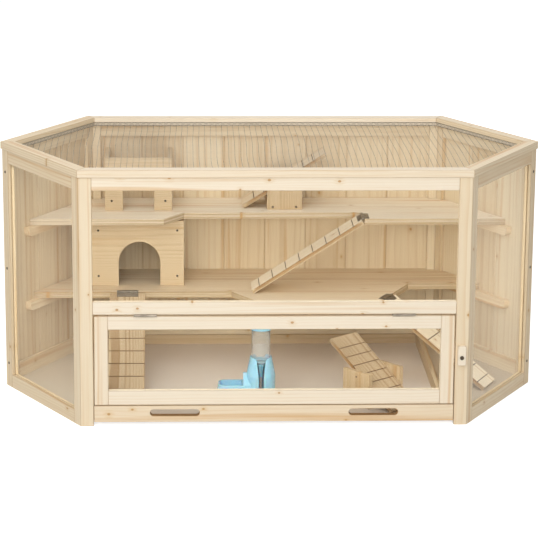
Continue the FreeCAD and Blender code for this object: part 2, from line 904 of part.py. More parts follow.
def runner(side):
    """An angled bar that carries the drawer's edge on its ledge and guides its side."""
    start = inner_front + size.runner_set_back
    guide = tray_half + size.fit_gap
    outer = guide + size.runner_wall
    outline = [(guide - size.runner_ledge, 0), (outer, 0), (outer, size.runner_height),
               (guide, size.runner_height), (guide, size.drawer_rise),
               (guide - size.runner_ledge, size.drawer_rise)]
    if side < 0:
        outline = [(-place[0], place[1]) for place in outline[::-1]]
    body = body_of("runner")
    drawing = sketch(body, "runner_section", "XZ_Plane", outline, -start)
    pad(body, "runner_bar", drawing, inner_back - start, reverse=True)
    return body


def side_floor(side):
    """The fixed floor between a runner and the two walls beside it."""
    start = tray_half + size.fit_gap + size.runner_wall + size.fit_gap
    corner = half_front - timber_inset * front_slant
    far = half_depth - timber_inset
    outline = [(start, -far), (corner, -far),
               (half_width - timber_inset / sin(size.corner_turn), 0), (corner, far), (start, far)]
    if side < 0:
        outline = [(-place[0], place[1]) for place in outline[::-1]]
    body = body_of("side_floor")
    drawing = sketch(body, "side_floor_outline", "XY_Plane", outline, size.drawer_rise)
    pad(body, "side_floor_sheet", drawing, size.floor)
    return body


node("drawer_runners", runner(-1), runner(1))
node("side_floors", side_floor(-1), side_floor(1))

# The door below the middle rail: four timbers round a pane.
door_half = half_front - size.front_upright - size.door_side_gap
door_up = (door_bottom, mid_rail_bottom - size.door_top_gap)
door_inner = door_half - size.door_upright
door_low = door_bottom + size.door_bottom_rail
door_high = door_up[1] - size.door_top_rail
door_depth = (-half_depth, -half_depth + size.timber)
door_reach = door_inner + size.groove_depth
door_groove = box("door_groove", (-door_reach, door_reach),
                  (pane_groove[0] - half_depth, pane_groove[1] - half_depth),
                  (door_low - size.groove_depth, door_high + size.groove_depth))
door_bars = {
    "door_left_stile": ((-door_half, -door_inner), door_up),
    "door_right_stile": ((door_inner, door_half), door_up),
    "door_top_rail": ((-door_inner, door_inner), (door_high, door_up[1])),
    "door_bottom_rail": ((-door_inner, door_inner), (door_bottom, door_low)),
}
for name, (across, up) in door_bars.items():
    node(name, cut(name + "_cut", box(name + "_bar", across, door_depth, up), door_groove))
door_sheet = door_reach - size.fit_gap
node("door_window", group("door_window", box(
    "door_pane", (-door_sheet, door_sheet),
    (pane_inward[0] - half_depth, pane_inward[1] - half_depth),
    (door_low - size.groove_depth + size.fit_gap, door_high + size.groove_depth - size.fit_gap))))

# The turn button hangs on its screw on the right post, upright when it is open.
button = body_of("turn_button")
half_button = size.button_width / 2
bevel = size.button_corner
button_face = sketch(button, "button_face", "XZ_Plane", [
    (-half_button, bevel - size.button_short_arm), (bevel - half_button, -size.button_short_arm),
    (half_button - bevel, -size.button_short_arm), (half_button, bevel - size.button_short_arm),
    (half_button, size.button_long_arm - bevel), (half_button - bevel, size.button_long_arm),
    (bevel - half_button, size.button_long_arm), (-half_button, size.button_long_arm - bevel)])
pad(button, "button_block", button_face, size.button_thickness)
button_x = half_front - size.button_from_corner
button_y = -half_depth - size.fit_gap
stand(button, (button_x, button_y, button_level))
bore = rod("button_bore", size.button_screw_radius + size.pin_play, size.button_thickness * 3,
           (button_x, button_y - size.button_thickness * 2, button_level), (0, 1, 0))
node("turn_button", cut("turn_button", button, bore))
head_y = button_y - size.button_thickness - size.fit_gap
node("button_screw", fuse(
    "button_screw",
    rod("button_screw_shank", size.button_screw_radius, size.timber - head_y - half_depth,
        (button_x, head_y, button_level), (0, 1, 0)),
    rod("button_screw_top", size.button_screw_head, size.button_screw_head_height,
        (button_x, head_y, button_level), (0, -1, 0))))

# The lid: six mitred rails flat on the body, hinged along the back.
lid_bottom = size.body_height
lid_top = size.body_height + size.lid_thickness
lid_mortises = hinge_mortise("lid_mortise", mortise_inward,
                             (lid_bottom - size.cut_over, lid_bottom + size.leaf))


def lid_rail(panel, tools=()):
    """A rail of the lid over one side of the body."""
    length = PANELS[panel][2]
    start, end = slants(panel)
    outer = -size.lid_overhang
    inner = size.lid_rail - size.lid_overhang
    rail = mitred(f"{panel}_lid", (outer * start, length - outer * end),
                  (inner * start, length - inner * end), (outer, inner), (lid_bottom, lid_top))
    if tools:
        rail = cut(f"{panel}_lid_cut", rail, *tools)
    return in_panel(group(f"{panel}_lid_seat", rail), panel)


node("lid_front_rail", lid_rail("front"))
node("lid_back_rail", lid_rail("back", lid_mortises))
node("lid_side_rails", *[lid_rail(panel) for panel in PANELS if panel not in LONG_SIDES])


def strands(low, high, pitch):
    """The middles of strands spread evenly about zero between two ends."""
    count = int((high - low) / pitch / 2)
    return [step * pitch for step in range(-count, count + 1)]


def hexagon(inset, level):
    """The corners of the body's outline, moved inward."""
    x = half_front.number - inset * front_slant.number
    y = half_depth.number - inset
    tip = half_width.number - inset / math.sin(math.radians(size.corner_turn.number))
    corners = [(-x, -y), (x, -y), (tip, 0), (x, y), (-x, y), (-tip, 0)]
    return [Vector(*corner, level) for corner in corners]


def wire_mesh():
    """A flat net of crossed strands with a border, cut as holes from one face."""
    level = lid_bottom.number - size.mesh_thickness.number
    inset = size.mesh_inset.number
    strand = size.mesh_strand.number
    pitch = size.mesh_pitch.number
    outer = hexagon(inset, level)
    inner = hexagon(inset + 2 * strand, level)
    rim = Part.Face(Part.makePolygon(outer + outer[:1]))
    field = Part.Face(Part.makePolygon(inner + inner[:1]))
    columns = strands(-half_width.number, half_width.number, pitch)
    rows = strands(-half_depth.number, half_depth.number, pitch)
    gap = pitch - strand
    squares = []
    for x in columns:
        for y in rows:
            corner = Vector(x + strand / 2, y + strand / 2, level)
            squares.append(Part.makePlane(gap, gap, corner))
    holes = field.common(Part.makeCompound(squares))
    wires = [face.OuterWire for face in holes.Faces if face.Area > strand * strand]
    net = Part.Face([rim.OuterWire, *wires])
    net.validate()
    return net.extrude(Vector(0, 0, size.mesh_thickness.number))


mesh = doc.addObject("Part::Feature", "lid_mesh")
mesh.Shape = wire_mesh()
mesh.Placement = Placement()
node("lid_mesh", mesh)


def leaf(name, fixed, offset):
    """One leaf of a hinge: the axis is the local Y, and the plate reaches along X.

    The fixed leaf has the two outer knuckles and the moving one the middle knuckle.
    """
    half = size.hinge_length / 2
    inner = size.hinge_length / 6
    gap = size.knuckle_gap / 2
    spans = [(-half, -inner - gap), (inner + gap, half)] if fixed else [(gap - inner, inner - gap)]
    plane = (offset, offset + size.leaf)
    parts = [box(name + "_plate", (size.leaf_from_axis, size.leaf_to_axis), (-half, half), plane)]
    for start, end in spans:
        parts.append(small_rod(name + "_knuckle", size.barrel_radius, end - start, (0, start, 0),
                               (0, 1, 0)))
        parts.append(box(name + "_tab", (size.leaf_tab, size.leaf_from_axis), (start, end), plane))
    bore = small_rod(name + "_bore", small_bore(size.pin_radius), size.hinge_length * 2,
                     (0, -size.hinge_length, 0), (0, 1, 0))
    return cut(name, fuse(name + "_blank", *parts), bore)


def pin(name):
    start = (0, -size.hinge_length / 2, 0)
    return small_rod(name, size.pin_radius, size.hinge_length, start, (0, 1, 0))


fixed_leaves = []
moving_leaves = {"door": [], "lid": []}
hinge_pins = []
door_axis = named("door_axis", (door_up[1] + mid_rail_bottom) / 2)
door_gap = (mid_rail_bottom - door_up[1]) / 2
for side in (-1, 1):
    at = (side * size.door_hinge_place, -half_depth - size.door_hinge_forward, door_axis)
    back = heading(QUARTER_TURN)
    fixed_leaves.append(stand(leaf("door_fixed_leaf", True, door_gap - size.leaf), at, back))
    moving_leaves["door"].append(stand(leaf("door_leaf", False, -door_gap), at, back))
    hinge_pins.append(stand(group("door_pin_seat", pin("door_pin")), at, back))
    at = (side * size.lid_hinge_place, half_depth + size.lid_hinge_back, lid_bottom)
    forward = heading(-QUARTER_TURN)
    fixed_leaves.append(stand(leaf("lid_fixed_leaf", True, -size.leaf), at, forward))
    moving_leaves["lid"].append(stand(leaf("lid_leaf", False, 0), at, forward))
    hinge_pins.append(stand(group("lid_pin_seat", pin("lid_pin")), at, forward))
node("door_hinge_leaves", *moving_leaves["door"])
node("lid_hinge_leaves", *moving_leaves["lid"])

# Ramps: each board hangs from a hinge at a shelf's edge and rests on the level below.
# Its own directions are down the slope, across, and square to its face.
def grooved_board(name, along, width, thickness, top, first, count, pitch):
    """A board with a row of grooves across its upper face."""
    body = body_of(name)
    half = width / 2
    outline = sketch(body, name + "_outline", "XY_Plane", block_outline(along, (-half, half)),
                     top - thickness)
    pad(body, name + "_board", outline, thickness)
    doc.recompute()
    section = sketch(body, name + "_groove", "XZ_Plane", block_outline(
        (first, first + size.ramp_groove), (top - size.ramp_groove_depth, top + size.cut_over)))
    grip = pocket(body, name + "_grip", section)
    doc.recompute()
    row_of(body, name + "_grips", grip, section, count, pitch)
    return body


def ramp(name, edge, level, angle, slope, width):
    """A ramp with its hinge, from a point on the shelf's edge towards a heading."""
    x = edge[0] + size.ramp_hinge_out * cos(angle)
    y = edge[1] + size.ramp_hinge_out * sin(angle)
    at = (x, y, level + leaf_rise)
    tilt = heading(angle).multiply(Rotation(Vector(0, 1, 0), slope.number))
    board = grooved_board(name, (size.ramp_start, size.ramp_length), width, size.ramp_thickness,
                          -leaf_rise, size.ramp_groove_first, size.ramp_groove_count,
                          size.ramp_groove_pitch)
    node(name, stand(board, at, tilt))
    node(name + "_leaf", stand(leaf(name + "_leaf", False, -leaf_rise), at, tilt))
    fixed_leaves.append(stand(leaf(name + "_fixed_leaf", True, -leaf_rise), at,
                              heading(angle + HALF_TURN)))
    hinge_pins.append(stand(group(name + "_pin_seat", pin(name + "_pin")), at, heading(angle)))


upper_slope = ramp_slope("upper_slope", upper_level, mid_level)
upper_edge = (upper_right_step, upper_notch - size.upper_ramp_gap - half_ramp)
left_edge = (size.drawer_wall - tray_half + size.left_ramp_gap + size.wide_ramp_width / 2, mid_front)
right_edge = (mid_tongue_right + size.right_ramp_along * sin(edge_turn),
              mid_tongue_front + size.right_ramp_along * cos(edge_turn))
ramp("upper_ramp", upper_edge, upper_level, as_size(HALF_TURN), upper_slope, size.narrow_ramp_width)
ramp("left_ramp", left_edge, mid_level, as_size(-QUARTER_TURN), floor_slope, size.wide_ramp_width)
ramp("right_ramp", right_edge, mid_level, -edge_turn, floor_slope, size.narrow_ramp_width)
node("fixed_hinge_leaves", *fixed_leaves)
node("hinge_pins", *hinge_pins)

# Seesaws: a grooved board on a pin between two plates, which cross bars hold apart.
seesaw_half = size.seesaw_length / 2
seesaw_reach = hypot(seesaw_half, size.seesaw_thickness / 2)
seesaw_slope = named("seesaw_slope", asin((size.seesaw_pivot - size.fit_gap) / seesaw_reach)
                     - atan(size.seesaw_thickness / 2 / seesaw_half))
plate_inner = size.seesaw_width / 2 + size.seesaw_play
plate_outer = plate_inner + size.plate_thickness


def pivot_bore(name, radius, height):
    """The seesaw's pin, or the hole for it, across the seesaw."""
    return rod(name, radius, 2 * plate_outer, (0, -plate_outer, height), (0, 1, 0))


def seesaw(name, x, y, level, angle):
    """A seesaw whose low end points to a heading."""
    at = (x, y, level)
    half_plate = size.plate_length / 2
    plates = []
    for side in (-1, 1):
        inward = (plate_inner, plate_outer) if side > 0 else (-plate_outer, -plate_inner)
        blank = box(name + "_plate_blank", (-half_plate, half_plate), inward,
                    (0, size.plate_height))
        hole = pivot_bore(name + "_plate_hole", size.seesaw_pin_radius + size.pin_play,
                          size.seesaw_pivot)
        plates.append(cut(name + "_plate", blank, hole))
    bars = []
    for start in (-half_plate, half_plate - size.cross_bar):
        bars.append(box(name + "_cross_bar", (start, start + size.cross_bar),
                        (-plate_inner, plate_inner), (0, size.cross_bar)))
    node(name + "_stand", stand(group(name + "_stand", *plates, *bars), at, heading(angle)))
    first = (1 - size.seesaw_groove_count) * size.seesaw_pitch / 2 - size.ramp_groove / 2
    blank = grooved_board(name + "_blank", (-seesaw_half, seesaw_half), size.seesaw_width,
                          size.seesaw_thickness, size.seesaw_thickness / 2,
                          first, size.seesaw_groove_count, size.seesaw_pitch)
    board = cut(name + "_board", blank, pivot_bore(
        name + "_board_bore", size.seesaw_pin_radius + size.pin_play, 0))
    tilt = heading(angle).multiply(Rotation(Vector(0, 1, 0), seesaw_slope.number))
    node(name + "_board", stand(board, (x, y, level + size.seesaw_pivot), tilt))
    return stand(group(name + "_pin_seat", pivot_bore(
        name + "_pin", size.seesaw_pin_radius, size.seesaw_pivot)), at, heading(angle))


node("seesaw_pins",
     seesaw("floor_seesaw", half_front - size.floor_seesaw_from_corner,
            size.floor_seesaw_from_front - half_depth, floor_level, size.floor_seesaw_heading),
     seesaw("upper_seesaw", size.upper_seesaw_x, half_depth - size.upper_seesaw_from_back,
            upper_level, as_size(HALF_TURN)))

# The feeder: a dish beside a slotted tower that holds a bottle upside down.
feeder = (size.feeder_x, size.feeder_from_front - half_depth, floor_level)
wall = size.tower_wall
foot = size.tower_foot_radius
top = size.tower_top_radius
bend = size.tower_bend
collar_high = size.tower_height - size.tower_collar_drop
collar_low = collar_high - size.tower_collar
collar_hole = size.bottle_neck_radius + size.collar_play


def tower_inside(height):
    """The tower's inner radius at a height above its bend."""
    return foot - wall - (foot - top) * (height - bend) / (size.tower_height - bend)


tower = revolved("tower", [
    (0, 0), (foot, 0), (foot, bend), (top, size.tower_height), (top - wall, size.tower_height),
    (tower_inside(collar_high), collar_high), (collar_hole, collar_high),
    (collar_hole, collar_low), (tower_inside(collar_low), collar_low), (foot - wall, bend),
    (foot - wall, wall), (0, wall)], (0, 0, 0))
tower_room = revolved("tower_room", [
    (0, 0), (foot - wall / 2, 0), (foot - wall / 2, bend),
    (top - wall / 2, size.tower_height), (0, size.tower_height)], (0, 0, 0))


dish_draft = named("dish_draft", atan(size.dish_lean / size.dish_rim))


def dish_block(name, inset, low, height, right):
    """The dish's form from a level up, its walls leaning in, or its hollow when it is inset."""
    lean = size.dish_lean * (size.dish_rim - low) / size.dish_rim - inset
    left = -size.dish_reach - lean
    half = size.dish_width / 2 + lean
    corner = size.dish_corner + lean
    body = body_of(name)
    drawing = sketch(body, name + "_outline", "XY_Plane", [
        (left + corner, -half), (right, -half), (right, half),
        (left + corner, half, left + corner, half - corner), (left, half - corner),
        (left, corner - half, left + corner, corner - half)], low)
    block = pad(body, name + "_block", drawing, height)
    bind(block, TaperAngle=-dish_draft)
    return body


shield_from = -foot - size.dish_shield
dish_body = dish_block("dish_body", 0, as_size(0), size.dish_rim, 0)
dish_hollow = dish_block("dish_hollow", size.dish_wall, size.dish_floor,
                         size.dish_rim, shield_from)
shield = body_of("dish_shield")
half_rim = size.dish_width / 2
half_peak = size.dish_peak_width / 2
shield_face = sketch(shield, "dish_shield_face", "YZ_Plane", [
    (-half_rim, size.dish_floor), (half_rim, size.dish_floor), (half_rim, size.dish_rim),
    (half_peak, size.dish_peak), (-half_peak, size.dish_peak), (-half_rim, size.dish_rim)],
    shield_from)
pad(shield, "dish_shield_block", shield_face, foot)
dish = cut("dish", fuse("dish_blank", cut("dish_open", dish_body, dish_hollow), shield), tower_room)

# The slot for the spout is in the front, and the mouth above it runs through to the back.
half_slot = size.tower_slot_width / 2
half_neck = size.tower_neck_width / 2
lip_level = size.tower_height - size.tower_lip
slot_body = body_of("tower_slot")
slot_outline = sketch(slot_body, "tower_slot_outline", "XZ_Plane", [
    (-half_slot, size.tower_slot_foot), (half_slot, size.tower_slot_foot), (half_slot, bend),
    (half_neck, lip_level), (-half_neck, lip_level), (-half_slot, bend)])
pad(slot_body, "tower_slot_block", slot_outline, foot * 2)
half_mouth = half_neck + size.tower_lip
mouth_blank = box("mouth_blank", (-half_mouth, half_mouth), (-foot, foot),
                  (lip_level, size.tower_height + size.cut_over))
lips = [rod("tower_lip", size.tower_lip, foot * 2, (side * half_mouth, -foot, lip_level), (0, 1, 0))
        for side in (-1, 1)]
mouth = cut("tower_mouth", mouth_blank, *lips)
feeder_shape = cut("feeder_shape", fuse("feeder_blank", tower, dish), slot_body, mouth)
node("feeder_stand", stand(feeder_shape, feeder))

neck = size.bottle_neck_radius
bottle_low = collar_high
shoulder_high = bottle_low + size.bottle_shoulder_rise
bottle_top = bottle_low + size.bottle_height
cone_top = bottle_low - size.bottle_neck
bottle = revolved("water_bottle", [
    (0, cone_top), (neck, cone_top), (neck, bottle_low), (neck + size.bottle_shoulder, bottle_low),
    (size.bottle_radius, shoulder_high), (size.bottle_radius, bottle_top), (0, bottle_top)], feeder)
node("water_bottle", bottle)
cone_bend = size.cone_foot + size.cone_foot_length
bottle_cone = revolved("bottle_cone", [
    (0, size.cone_foot), (size.cone_foot_radius, size.cone_foot),
    (size.cone_foot_radius, cone_bend), (size.cone_top_radius, cone_top - size.cone_rim),
    (size.cone_top_radius, cone_top), (0, cone_top)], feeder)
cap_radius = size.bottle_radius + size.cap_overlap
cap_top = bottle_top + size.cap_height
bottle_cap = revolved("bottle_cap", [
    (0, bottle_top), (cap_radius, bottle_top), (cap_radius, cap_top - size.cap_bevel),
    (cap_radius - size.cap_bevel, cap_top), (0, cap_top)], feeder)
node("bottle_caps", bottle_cone, bottle_cap)
drink_spout = revolved("drink_spout", [
    (0, size.spout_foot), (size.spout_radius - size.spout_bevel, size.spout_foot),
    (size.spout_radius, size.spout_foot + size.spout_bevel), (size.spout_radius, size.cone_foot),
    (0, size.cone_foot)], feeder)
node("drink_spout", drink_spout)

doc.recompute()
for piece in doc.Objects:
    if "Invalid" in piece.State or "Error" in piece.State:
        raise RuntimeError(f"{piece.Label} could not be built: {piece.State}")
os.makedirs("parts", exist_ok=True)
for label, piece in NODES.items():
    if piece.Shape.isNull() or not piece.Shape.isValid() or not piece.Shape.Solids:
        raise RuntimeError(f"{label} has no sound shape")
for label, piece in NODES.items():
    piece.Shape.exportStep(os.path.join("parts", label + ".step"))
    bounds = piece.Shape.BoundBox
    print(f"{label}: {len(piece.Shape.Solids)} solids, {piece.Shape.Volume / 1000:.1f} cm3, "
          f"x {bounds.XMin:.1f} {bounds.XMax:.1f}, y {bounds.YMin:.1f} {bounds.YMax:.1f}, "
          f"z {bounds.ZMin:.1f} {bounds.ZMax:.1f}")
print(len(NODES), "nodes; slopes", round(upper_slope.number, 2), round(floor_slope.number, 2),
      round(seesaw_slope.number, 2))
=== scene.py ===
# %% [markdown]
# # A wooden hamster cage, dressed for its picture
# The cage is six-sided, of pale pine, with clear panes, a wire mesh lid and three levels inside.
# Its parts come from the construction model as fixed shapes. This lesson gives them what a bare
# shape lacks: softened edges, grain that runs the right way, woven wire and clear plastic.
# A cell with a title holds code, and the cell before it says what is made and why.

# %% Load the frame
import json
import math
import random

import bmesh
import bpy
from mathutils import Matrix, Vector

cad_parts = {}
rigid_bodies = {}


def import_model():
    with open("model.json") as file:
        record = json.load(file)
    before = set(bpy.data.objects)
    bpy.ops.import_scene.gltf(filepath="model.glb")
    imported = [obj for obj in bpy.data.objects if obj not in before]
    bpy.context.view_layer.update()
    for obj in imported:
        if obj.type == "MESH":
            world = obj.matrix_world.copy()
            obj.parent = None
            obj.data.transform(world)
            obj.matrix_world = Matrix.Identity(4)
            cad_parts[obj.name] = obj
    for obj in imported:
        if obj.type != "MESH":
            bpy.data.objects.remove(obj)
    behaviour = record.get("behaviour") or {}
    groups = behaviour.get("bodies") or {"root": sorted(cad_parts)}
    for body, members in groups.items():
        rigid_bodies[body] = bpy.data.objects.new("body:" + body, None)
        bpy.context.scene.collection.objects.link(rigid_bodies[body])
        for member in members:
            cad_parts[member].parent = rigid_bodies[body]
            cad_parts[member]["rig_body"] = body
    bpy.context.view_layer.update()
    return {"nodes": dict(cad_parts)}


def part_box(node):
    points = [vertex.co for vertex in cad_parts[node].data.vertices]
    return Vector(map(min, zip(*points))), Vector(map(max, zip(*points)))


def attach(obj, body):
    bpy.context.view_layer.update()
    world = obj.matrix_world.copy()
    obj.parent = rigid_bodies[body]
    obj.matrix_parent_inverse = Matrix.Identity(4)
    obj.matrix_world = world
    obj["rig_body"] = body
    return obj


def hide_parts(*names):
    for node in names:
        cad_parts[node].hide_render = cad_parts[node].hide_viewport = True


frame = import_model()

# %% [markdown]
# ## Camera
# The photograph was taken with a long lens from a little above and left of the middle. A camera
# could be aimed at a point by a constraint, but that gives no roll. The six corners of the cage
# give its distance, its pitch and its slight yaw and roll, so it is put together from a turn about
# the upright, then the pitch, then the roll.

# %% Make the camera
CAMERA_PLACE = Vector((-0.198, -4.956, 1.511))
CAMERA_YAW = math.radians(2.30)
CAMERA_PITCH = math.radians(14.19)
CAMERA_ROLL = math.radians(0.43)
CAMERA_LENS = 157.2
CAMERA_SENSOR = 36

scene = bpy.context.scene
camera = bpy.data.objects.new("camera", bpy.data.cameras.new("camera"))
camera.data.lens = CAMERA_LENS
camera.data.sensor_width = CAMERA_SENSOR
scene.collection.objects.link(camera)
scene.camera = camera
turn = (Matrix.Rotation(-CAMERA_YAW, 4, "Z") @ Matrix.Rotation(math.pi / 2 - CAMERA_PITCH, 4, "X")
        @ Matrix.Rotation(CAMERA_ROLL, 4, "Z"))
camera.matrix_world = Matrix.Translation(CAMERA_PLACE) @ turn
print("camera at", [round(c, 2) for c in camera.location])

# %% [markdown]
# ## Light
# A studio picture of pale wood needs wide, soft light. The world gives an even dome, and big
# panels shape it: one above the camera, one low in front that reaches under the shelves, one over
# the net, a weak one at each side and one behind. The white background could come from stronger
# lamps, but they would bleach the wood. Here rays from the camera, and from glass and metal, see a
# white world, and every other ray meets a dim one.

# %% Light the scene
DOME_LEVEL = 0.33
PANELS = {
    "front_panel": ((-0.9, -3.6, 2.25), 2.6, 73),
    "low_panel": ((0.5, -4.4, 0.95), 2.0, 13),
    "left_panel": ((-3.4, -1.2, 2.2), 2.0, 3),
    "right_panel": ((3.4, -1.2, 2.2), 2.0, 3),
    "top_panel": ((-0.5, -0.9, 3.2), 3.0, 33),
    "back_panel": ((0.6, 4.0, 2.4), 2.6, 26),
}
PANELS_AIM = Vector((0, 0, 0.25))
scene.view_settings.view_transform = "Standard"


def seen_directly(tree):
    """A factor of 1 for rays that show the background: from the camera, glass or metal."""
    path = tree.nodes.new("ShaderNodeLightPath")
    total = path.outputs["Is Camera Ray"]
    for name in ("Is Glossy Ray", "Is Transmission Ray"):
        add = tree.nodes.new("ShaderNodeMath")
        add.operation = "MAXIMUM"
        tree.links.new(total, add.inputs[0])
        tree.links.new(path.outputs[name], add.inputs[1])
        total = add.outputs[0]
    return total


world = bpy.data.worlds.new("studio")
scene.world = world
world.use_nodes = True
sky = world.node_tree
backdrop = sky.nodes["Background"]
dimmer = sky.nodes.new("ShaderNodeMapRange")
dimmer.inputs["To Min"].default_value = DOME_LEVEL
sky.links.new(seen_directly(sky), dimmer.inputs["Value"])
sky.links.new(dimmer.outputs["Result"], backdrop.inputs["Strength"])
backdrop.inputs["Color"].default_value = (1, 1, 1, 1)
for name, (place, width, power) in PANELS.items():
    lamp = bpy.data.objects.new(name, bpy.data.lights.new(name, "AREA"))
    lamp.data.size = width
    lamp.data.energy = power
    lamp.location = place
    aim = PANELS_AIM - lamp.location
    lamp.rotation_euler = aim.to_track_quat("-Z", "Y").to_euler()
    scene.collection.objects.link(lamp)
print("panels", ", ".join(PANELS))

# %% [markdown]
# ## A short way to write materials
# Every finish here is a small network of nodes, which could be drawn by hand in the shader editor.
# A helper keeps each one readable as text: it adds a node, sets its options, and takes for each
# input either a plain value or the output of another node.

# %% Helper for node networks
class Finish:
    """A material under construction."""

    def __init__(self, name):
        self.material = bpy.data.materials.new(name)
        self.material.use_nodes = True
        self.tree = self.material.node_tree
        self.tree.nodes.clear()

    def add(self, kind, *inputs, **options):
        """Add a node. Inputs are (name or number, value or output), options are its settings."""
        node = self.tree.nodes.new("ShaderNode" + kind)
        for name, value in options.items():
            setattr(node, name, value)
        for name, value in inputs:
            if isinstance(value, bpy.types.NodeSocket):
                self.tree.links.new(value, node.inputs[name])
            else:
                node.inputs[name].default_value = value
        return node

    def sum(self, operation, *values):
        """The output of a Math node."""
        return self.add("Math", *enumerate(values), operation=operation).outputs[0]

    def range(self, value, low, high, to_low=0.0, to_high=1.0, smooth=False):
        """A value brought from one range to another, and held inside it."""
        kind = "SMOOTHSTEP" if smooth else "LINEAR"
        node = self.add("MapRange", (0, value), (1, low), (2, high), (3, to_low), (4, to_high),
                        interpolation_type=kind)
        return node.outputs[0]

    def mix(self, factor, one, other, blend="MIX"):
        """Two colours mixed."""
        node = self.add("Mix", (0, factor), (6, one), (7, other), data_type="RGBA",
                        blend_type=blend)
        return node.outputs[2]

    def scaled(self, place, scale):
        """A place stretched by a scale for each direction."""
        return self.add("VectorMath", (0, place), (1, scale), operation="MULTIPLY").outputs[0]

    def noise(self, place, scale, detail=2.0, roughness=0.5):
        """Noise between 0 and 1 at a place, stretched by a scale for each direction."""
        node = self.add("TexNoise", ("Vector", self.scaled(place, scale)), ("Scale", 1.0),
                        ("Detail", detail), ("Roughness", roughness))
        return node.outputs["Fac"]

    def finish(self, shader):
        """The material, once a shader is joined to its surface."""
        self.add("OutputMaterial", ("Surface", shader))
        return self.material


def colour(red, green, blue):
    """A colour written as it looks on screen, 0 to 255, turned to the renderer's linear values."""
    linear = [((c / 255 + 0.055) / 1.055) ** 2.4 if c > 10 else c / 255 / 12.92
              for c in (red, green, blue)]
    return (*linear, 1.0)


# %% [markdown]
# ## Floor
# The cage stands on plain pale paper that runs out of the picture and takes the cage's shadow. A
# white paper would throw too much light back up, so this one is grey, and it glows only for the
# rays that show the background.

# %% Lay the floor
FLOOR_REACH = 12.0
FLOOR_GREY = 0.8
FLOOR_LIFT = 0.75

paper = Finish("studio_paper")
matt = paper.add("BsdfDiffuse", ("Color", (FLOOR_GREY, FLOOR_GREY, FLOOR_GREY, 1)))
lift = paper.sum("MULTIPLY", seen_directly(paper.tree), FLOOR_LIFT)
glow = paper.add("Emission", ("Strength", lift))
both = paper.add("AddShader", (0, matt.outputs[0]), (1, glow.outputs[0]))
floor_mesh = bpy.data.meshes.new("studio_floor")
floor_corners = [(x * FLOOR_REACH, y * FLOOR_REACH, 0)
                 for x, y in ((-1, -1), (1, -1), (1, 1), (-1, 1))]
floor_mesh.from_pydata(floor_corners, [], [(0, 1, 2, 3)])
floor_mesh.materials.append(paper.finish(both.outputs[0]))
studio_floor = bpy.data.objects.new("studio_floor", floor_mesh)
scene.collection.objects.link(studio_floor)
print("paper", round(2 * FLOOR_REACH), "m wide")

# %% [markdown]
# ## Pine
# Sawn pine shows the growth rings of the tree as long lines, wide apart where the saw runs along
# a ring. A picture of wood would stretch at the ends, so the rings are worked out in space: each
# board knows how far its points lie from the middle of the trunk, and the rings are waves of that
# distance. Noise stretched along the board bends them. A few points of a cell pattern become
# knots, which darken the wood and push the rings aside.

# %% Helpers for knots and growth rings
KNOT_CELLS = (20, 26, 1)
KNOT_WIDTHS = (0.035, 0.085)
KNOT_PUSH = 0.12
RING_BENDS = (2.2, 9, 9)
RING_DRIFT = 0.030
LATE_WOOD = (0.45, 1.0)
RING_END = 0.93


def knots_in(look, place, share):
    """Knots and the halos round them, from 0 to 1. Share is how many cells hold a knot."""
    cells = look.add("TexVoronoi", ("Vector", look.scaled(place, KNOT_CELLS)), ("Scale", 1.0),
                     ("Randomness", 1.0), voronoi_dimensions="2D")
    picks = look.add("SeparateColor", (0, cells.outputs["Color"])).outputs
    chosen = look.sum("LESS_THAN", picks[0], share)
    wide = look.range(picks[1], 0, 1, *KNOT_WIDTHS)
    away = look.sum("DIVIDE", cells.outputs["Distance"], wide)
    knot = look.sum("MULTIPLY", chosen, look.range(away, 1.1, 0.7))
    halo = look.sum("MULTIPLY", chosen, look.range(away, 4, 0.8))
    return knot, halo


def rings_in(look, place, halo, ring):
    """Growth rings this far apart, from 0 to 1: each darkens slowly and ends at once."""
    bend = look.sum("MULTIPLY_ADD", halo, KNOT_PUSH, look.noise(place, RING_BENDS, detail=3))
    parts = look.add("SeparateXYZ", (0, place)).outputs
    across = look.sum("MULTIPLY_ADD", look.sum("SUBTRACT", bend, 0.5), RING_DRIFT, parts[1])
    radius = look.sum("SQRT", look.sum("ADD", look.sum("MULTIPLY", across, across),
                                       look.sum("MULTIPLY", parts[2], parts[2])))
    wave = look.sum("FRACT", look.sum("DIVIDE", radius, ring))
    rise = look.range(wave, *LATE_WOOD, smooth=True)
    return look.sum("MULTIPLY", rise, look.range(wave, 1.0, RING_END))


# %% [markdown]
# Over the rings lie fine fibres, darker streaks and soft blotches, and their sum mixes a pale and
# a dark colour. Yellow resin tints some stretches, and shelves show the layers that they are glued
# from on their edges. Rubbed edges are darker, as rough fibres there hold dust, and grooves get a
# dark brown as painted shade: an attribute of the mesh marks them, since a finish alone can't tell
# where they are.

# %% Make the wood finish
PATCHES = (3, 22, 22)
FIBRES = (14, 900, 900)
STREAKS = (2.5, 160, 160)
RESIN_RUNS = (1.3, 65, 65)
LAYERS = (1.2, 1.2, 420)
STREAK_DARK = 0.25
TONE_SPREAD = 0.45
HALO_DARK = 0.3
KNOT_SHOWN = 0.8
WOOD_ROUGH = (0.47, 0.65)
RESIN = colour(224, 184, 116)
GLUED_LAYERS = colour(176, 150, 112)
KNOT_WOOD = colour(190, 142, 80)
EDGE_DUST = colour(160, 116, 64)
# Painted shade inside grooves.
GROOVE_SHADE = colour(98, 70, 42)


def layers_on_edges(look, place, strength):
    """How much of the glued layers shows: only on faces that look sideways."""
    up = look.add("SeparateXYZ", (0, look.add("TexCoord").outputs["Normal"])).outputs[2]
    rim = look.range(look.sum("ABSOLUTE", up), 0.6, 0.3)
    layers = look.range(look.noise(place, LAYERS, detail=1), 0.42, 0.6, 0.55, 1)
    return look.sum("MULTIPLY", rim, look.sum("MULTIPLY", layers, strength))


